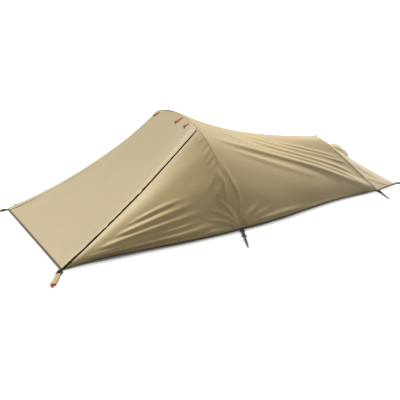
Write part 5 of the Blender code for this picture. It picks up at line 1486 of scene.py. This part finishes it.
for name, (place, heading) in ANCHORS.items():
    where = axes((*place, 0.0), (*heading, 0.0), (0, 0, 1))
    end = BUCKLE_END + STRAP_REACH[name.split("_")[0]]
    make_buckle(name, where)
    make_strap(name, where, end)
    make_peg(name, where, end)

loop_node = frame["nodes"]["rear_peak_loop"]
loop_node.data.materials.clear()
loop_node.data.materials.append(WEBBING_BLACK)

declare(fly_front, FRONT, (1.37, 1.20), TRIM["front"])
for name in SIDES:
    declare(fly_gussets[name], GUSSETS[name], (0.80, 1.20),
            TRIM[f"gusset_{name}"])
    declare(fly_walls[name], WALLS[name], (1.05, 1.62), TRIM[f"wall_{name}"])
declare(fly_foot, FOOT, (1.10, 1.10), TRIM["foot"])

# Stage, camera and light

FLOOR_HALF = 60.0
FLOOR_GLOW, FLOOR_SEEN, FLOOR_BOUNCE = 0.10, 0.88, 0.26
# How far the painted contact shadow reaches across the floor, and how deep it is
PAINTED_SHADOW_REACH, PAINTED_SHADOW_DEPTH = 0.07, 2.2
FILL, FILL_COLOUR, BACKDROP = 0.28, (1.0, 0.972, 0.92, 1), 1.05
CAMERA_PLACE = (-1.822, -3.269, 0.979)
CAMERA_TURN, CAMERA_TILT = math.radians(-29.11), math.radians(13.56)
CAMERA_LENS, CAMERA_SENSOR = 49.776, 36


def emission(tree, strength):
    return add_node(tree, "ShaderNodeEmission", Color=(1, 1, 1, 1), Strength=strength).outputs["Emission"]


def stage():
    """A pale floor with a painted contact shadow that darkens it close to the tent, and a backdrop that looks
    white and lights softly.
    """
    half = FLOOR_HALF
    data = bpy.data.meshes.new("floor")
    corners = [(-half, -half, 0), (half, -half, 0), (half, half, 0), (-half, half, 0)]
    data.from_pydata(corners, [], [(0, 1, 2, 3)])
    made = new_material("studio floor")
    tree = made.node_tree
    ray = add_node(tree, "ShaderNodeLightPath")
    # Painted shadow: ambient occlusion darkens the floor close to the tent
    painted_shadow = add_node(tree, "ShaderNodeAmbientOcclusion", Distance=PAINTED_SHADOW_REACH).outputs["AO"]
    paleness = ranged(tree, ray.outputs["Is Camera Ray"], 0, 1, FLOOR_BOUNCE, FLOOR_SEEN)
    paleness = calculated(tree, "MULTIPLY", paleness, calculated(tree, "POWER", painted_shadow, PAINTED_SHADOW_DEPTH))
    seen = calculated(tree, "MAXIMUM", ray.outputs["Is Camera Ray"], ray.outputs["Is Glossy Ray"])
    glow = add_node(tree, "ShaderNodeMixShader", seen, emission(tree, 0.0), emission(tree, FLOOR_GLOW))
    diffuse = add_node(tree, "ShaderNodeBsdfDiffuse", Color=paleness)
    both = add_node(tree, "ShaderNodeAddShader", diffuse.outputs["BSDF"], glow.outputs["Shader"])
    add_node(tree, "ShaderNodeOutputMaterial", Surface=both.outputs["Shader"])
    data.materials.append(made)
    floor = bpy.data.objects.new("floor", data)
    bpy.context.scene.collection.objects.link(floor)

    world = bpy.data.worlds.new("studio")
    bpy.context.scene.world = world
    world.use_nodes = True
    tree = world.node_tree
    tree.nodes.clear()
    fill = add_node(tree, "ShaderNodeBackground", Color=FILL_COLOUR, Strength=FILL)
    white = add_node(tree, "ShaderNodeBackground", Color=(1, 1, 1, 1), Strength=BACKDROP)
    ray = add_node(tree, "ShaderNodeLightPath")
    pick = add_node(tree, "ShaderNodeMixShader", ray.outputs["Is Camera Ray"], fill.outputs["Background"],
                    white.outputs["Background"])
    add_node(tree, "ShaderNodeOutputWorld", Surface=pick.outputs["Shader"])


def aimed(name, data, towards, place=(0, 0, 0)):
    """A lamp or camera whose back is towards a direction."""
    made = bpy.data.objects.new(name, data)
    made.location = place
    made.rotation_mode = "QUATERNION"
    made.rotation_quaternion = Vector(towards).to_track_quat("Z", "Y")
    bpy.context.scene.collection.objects.link(made)
    return made


def sun(name, towards, strength, angle, colour):
    data = bpy.data.lights.new(name, "SUN")
    data.energy = strength
    data.angle = math.radians(angle)
    data.color = colour
    aimed(name, data, towards)


def camera():
    level = math.cos(CAMERA_TILT)
    back = (math.sin(CAMERA_TURN) * level, -math.cos(CAMERA_TURN) * level, math.sin(CAMERA_TILT))
    data = bpy.data.cameras.new("camera")
    data.sensor_width = CAMERA_SENSOR
    data.lens = CAMERA_LENS
    data.clip_end = 200
    bpy.context.scene.camera = aimed("camera", data, back, CAMERA_PLACE)


stage()
sun("key", (-0.06, 0.13, 1.0), 2.86, 12, (1.0, 0.995, 0.975))
sun("side", (0.93, -0.12, 0.36), 0.52, 30, (1.0, 0.99, 0.97))
camera()
bpy.context.scene.view_settings.view_transform = "Standard"
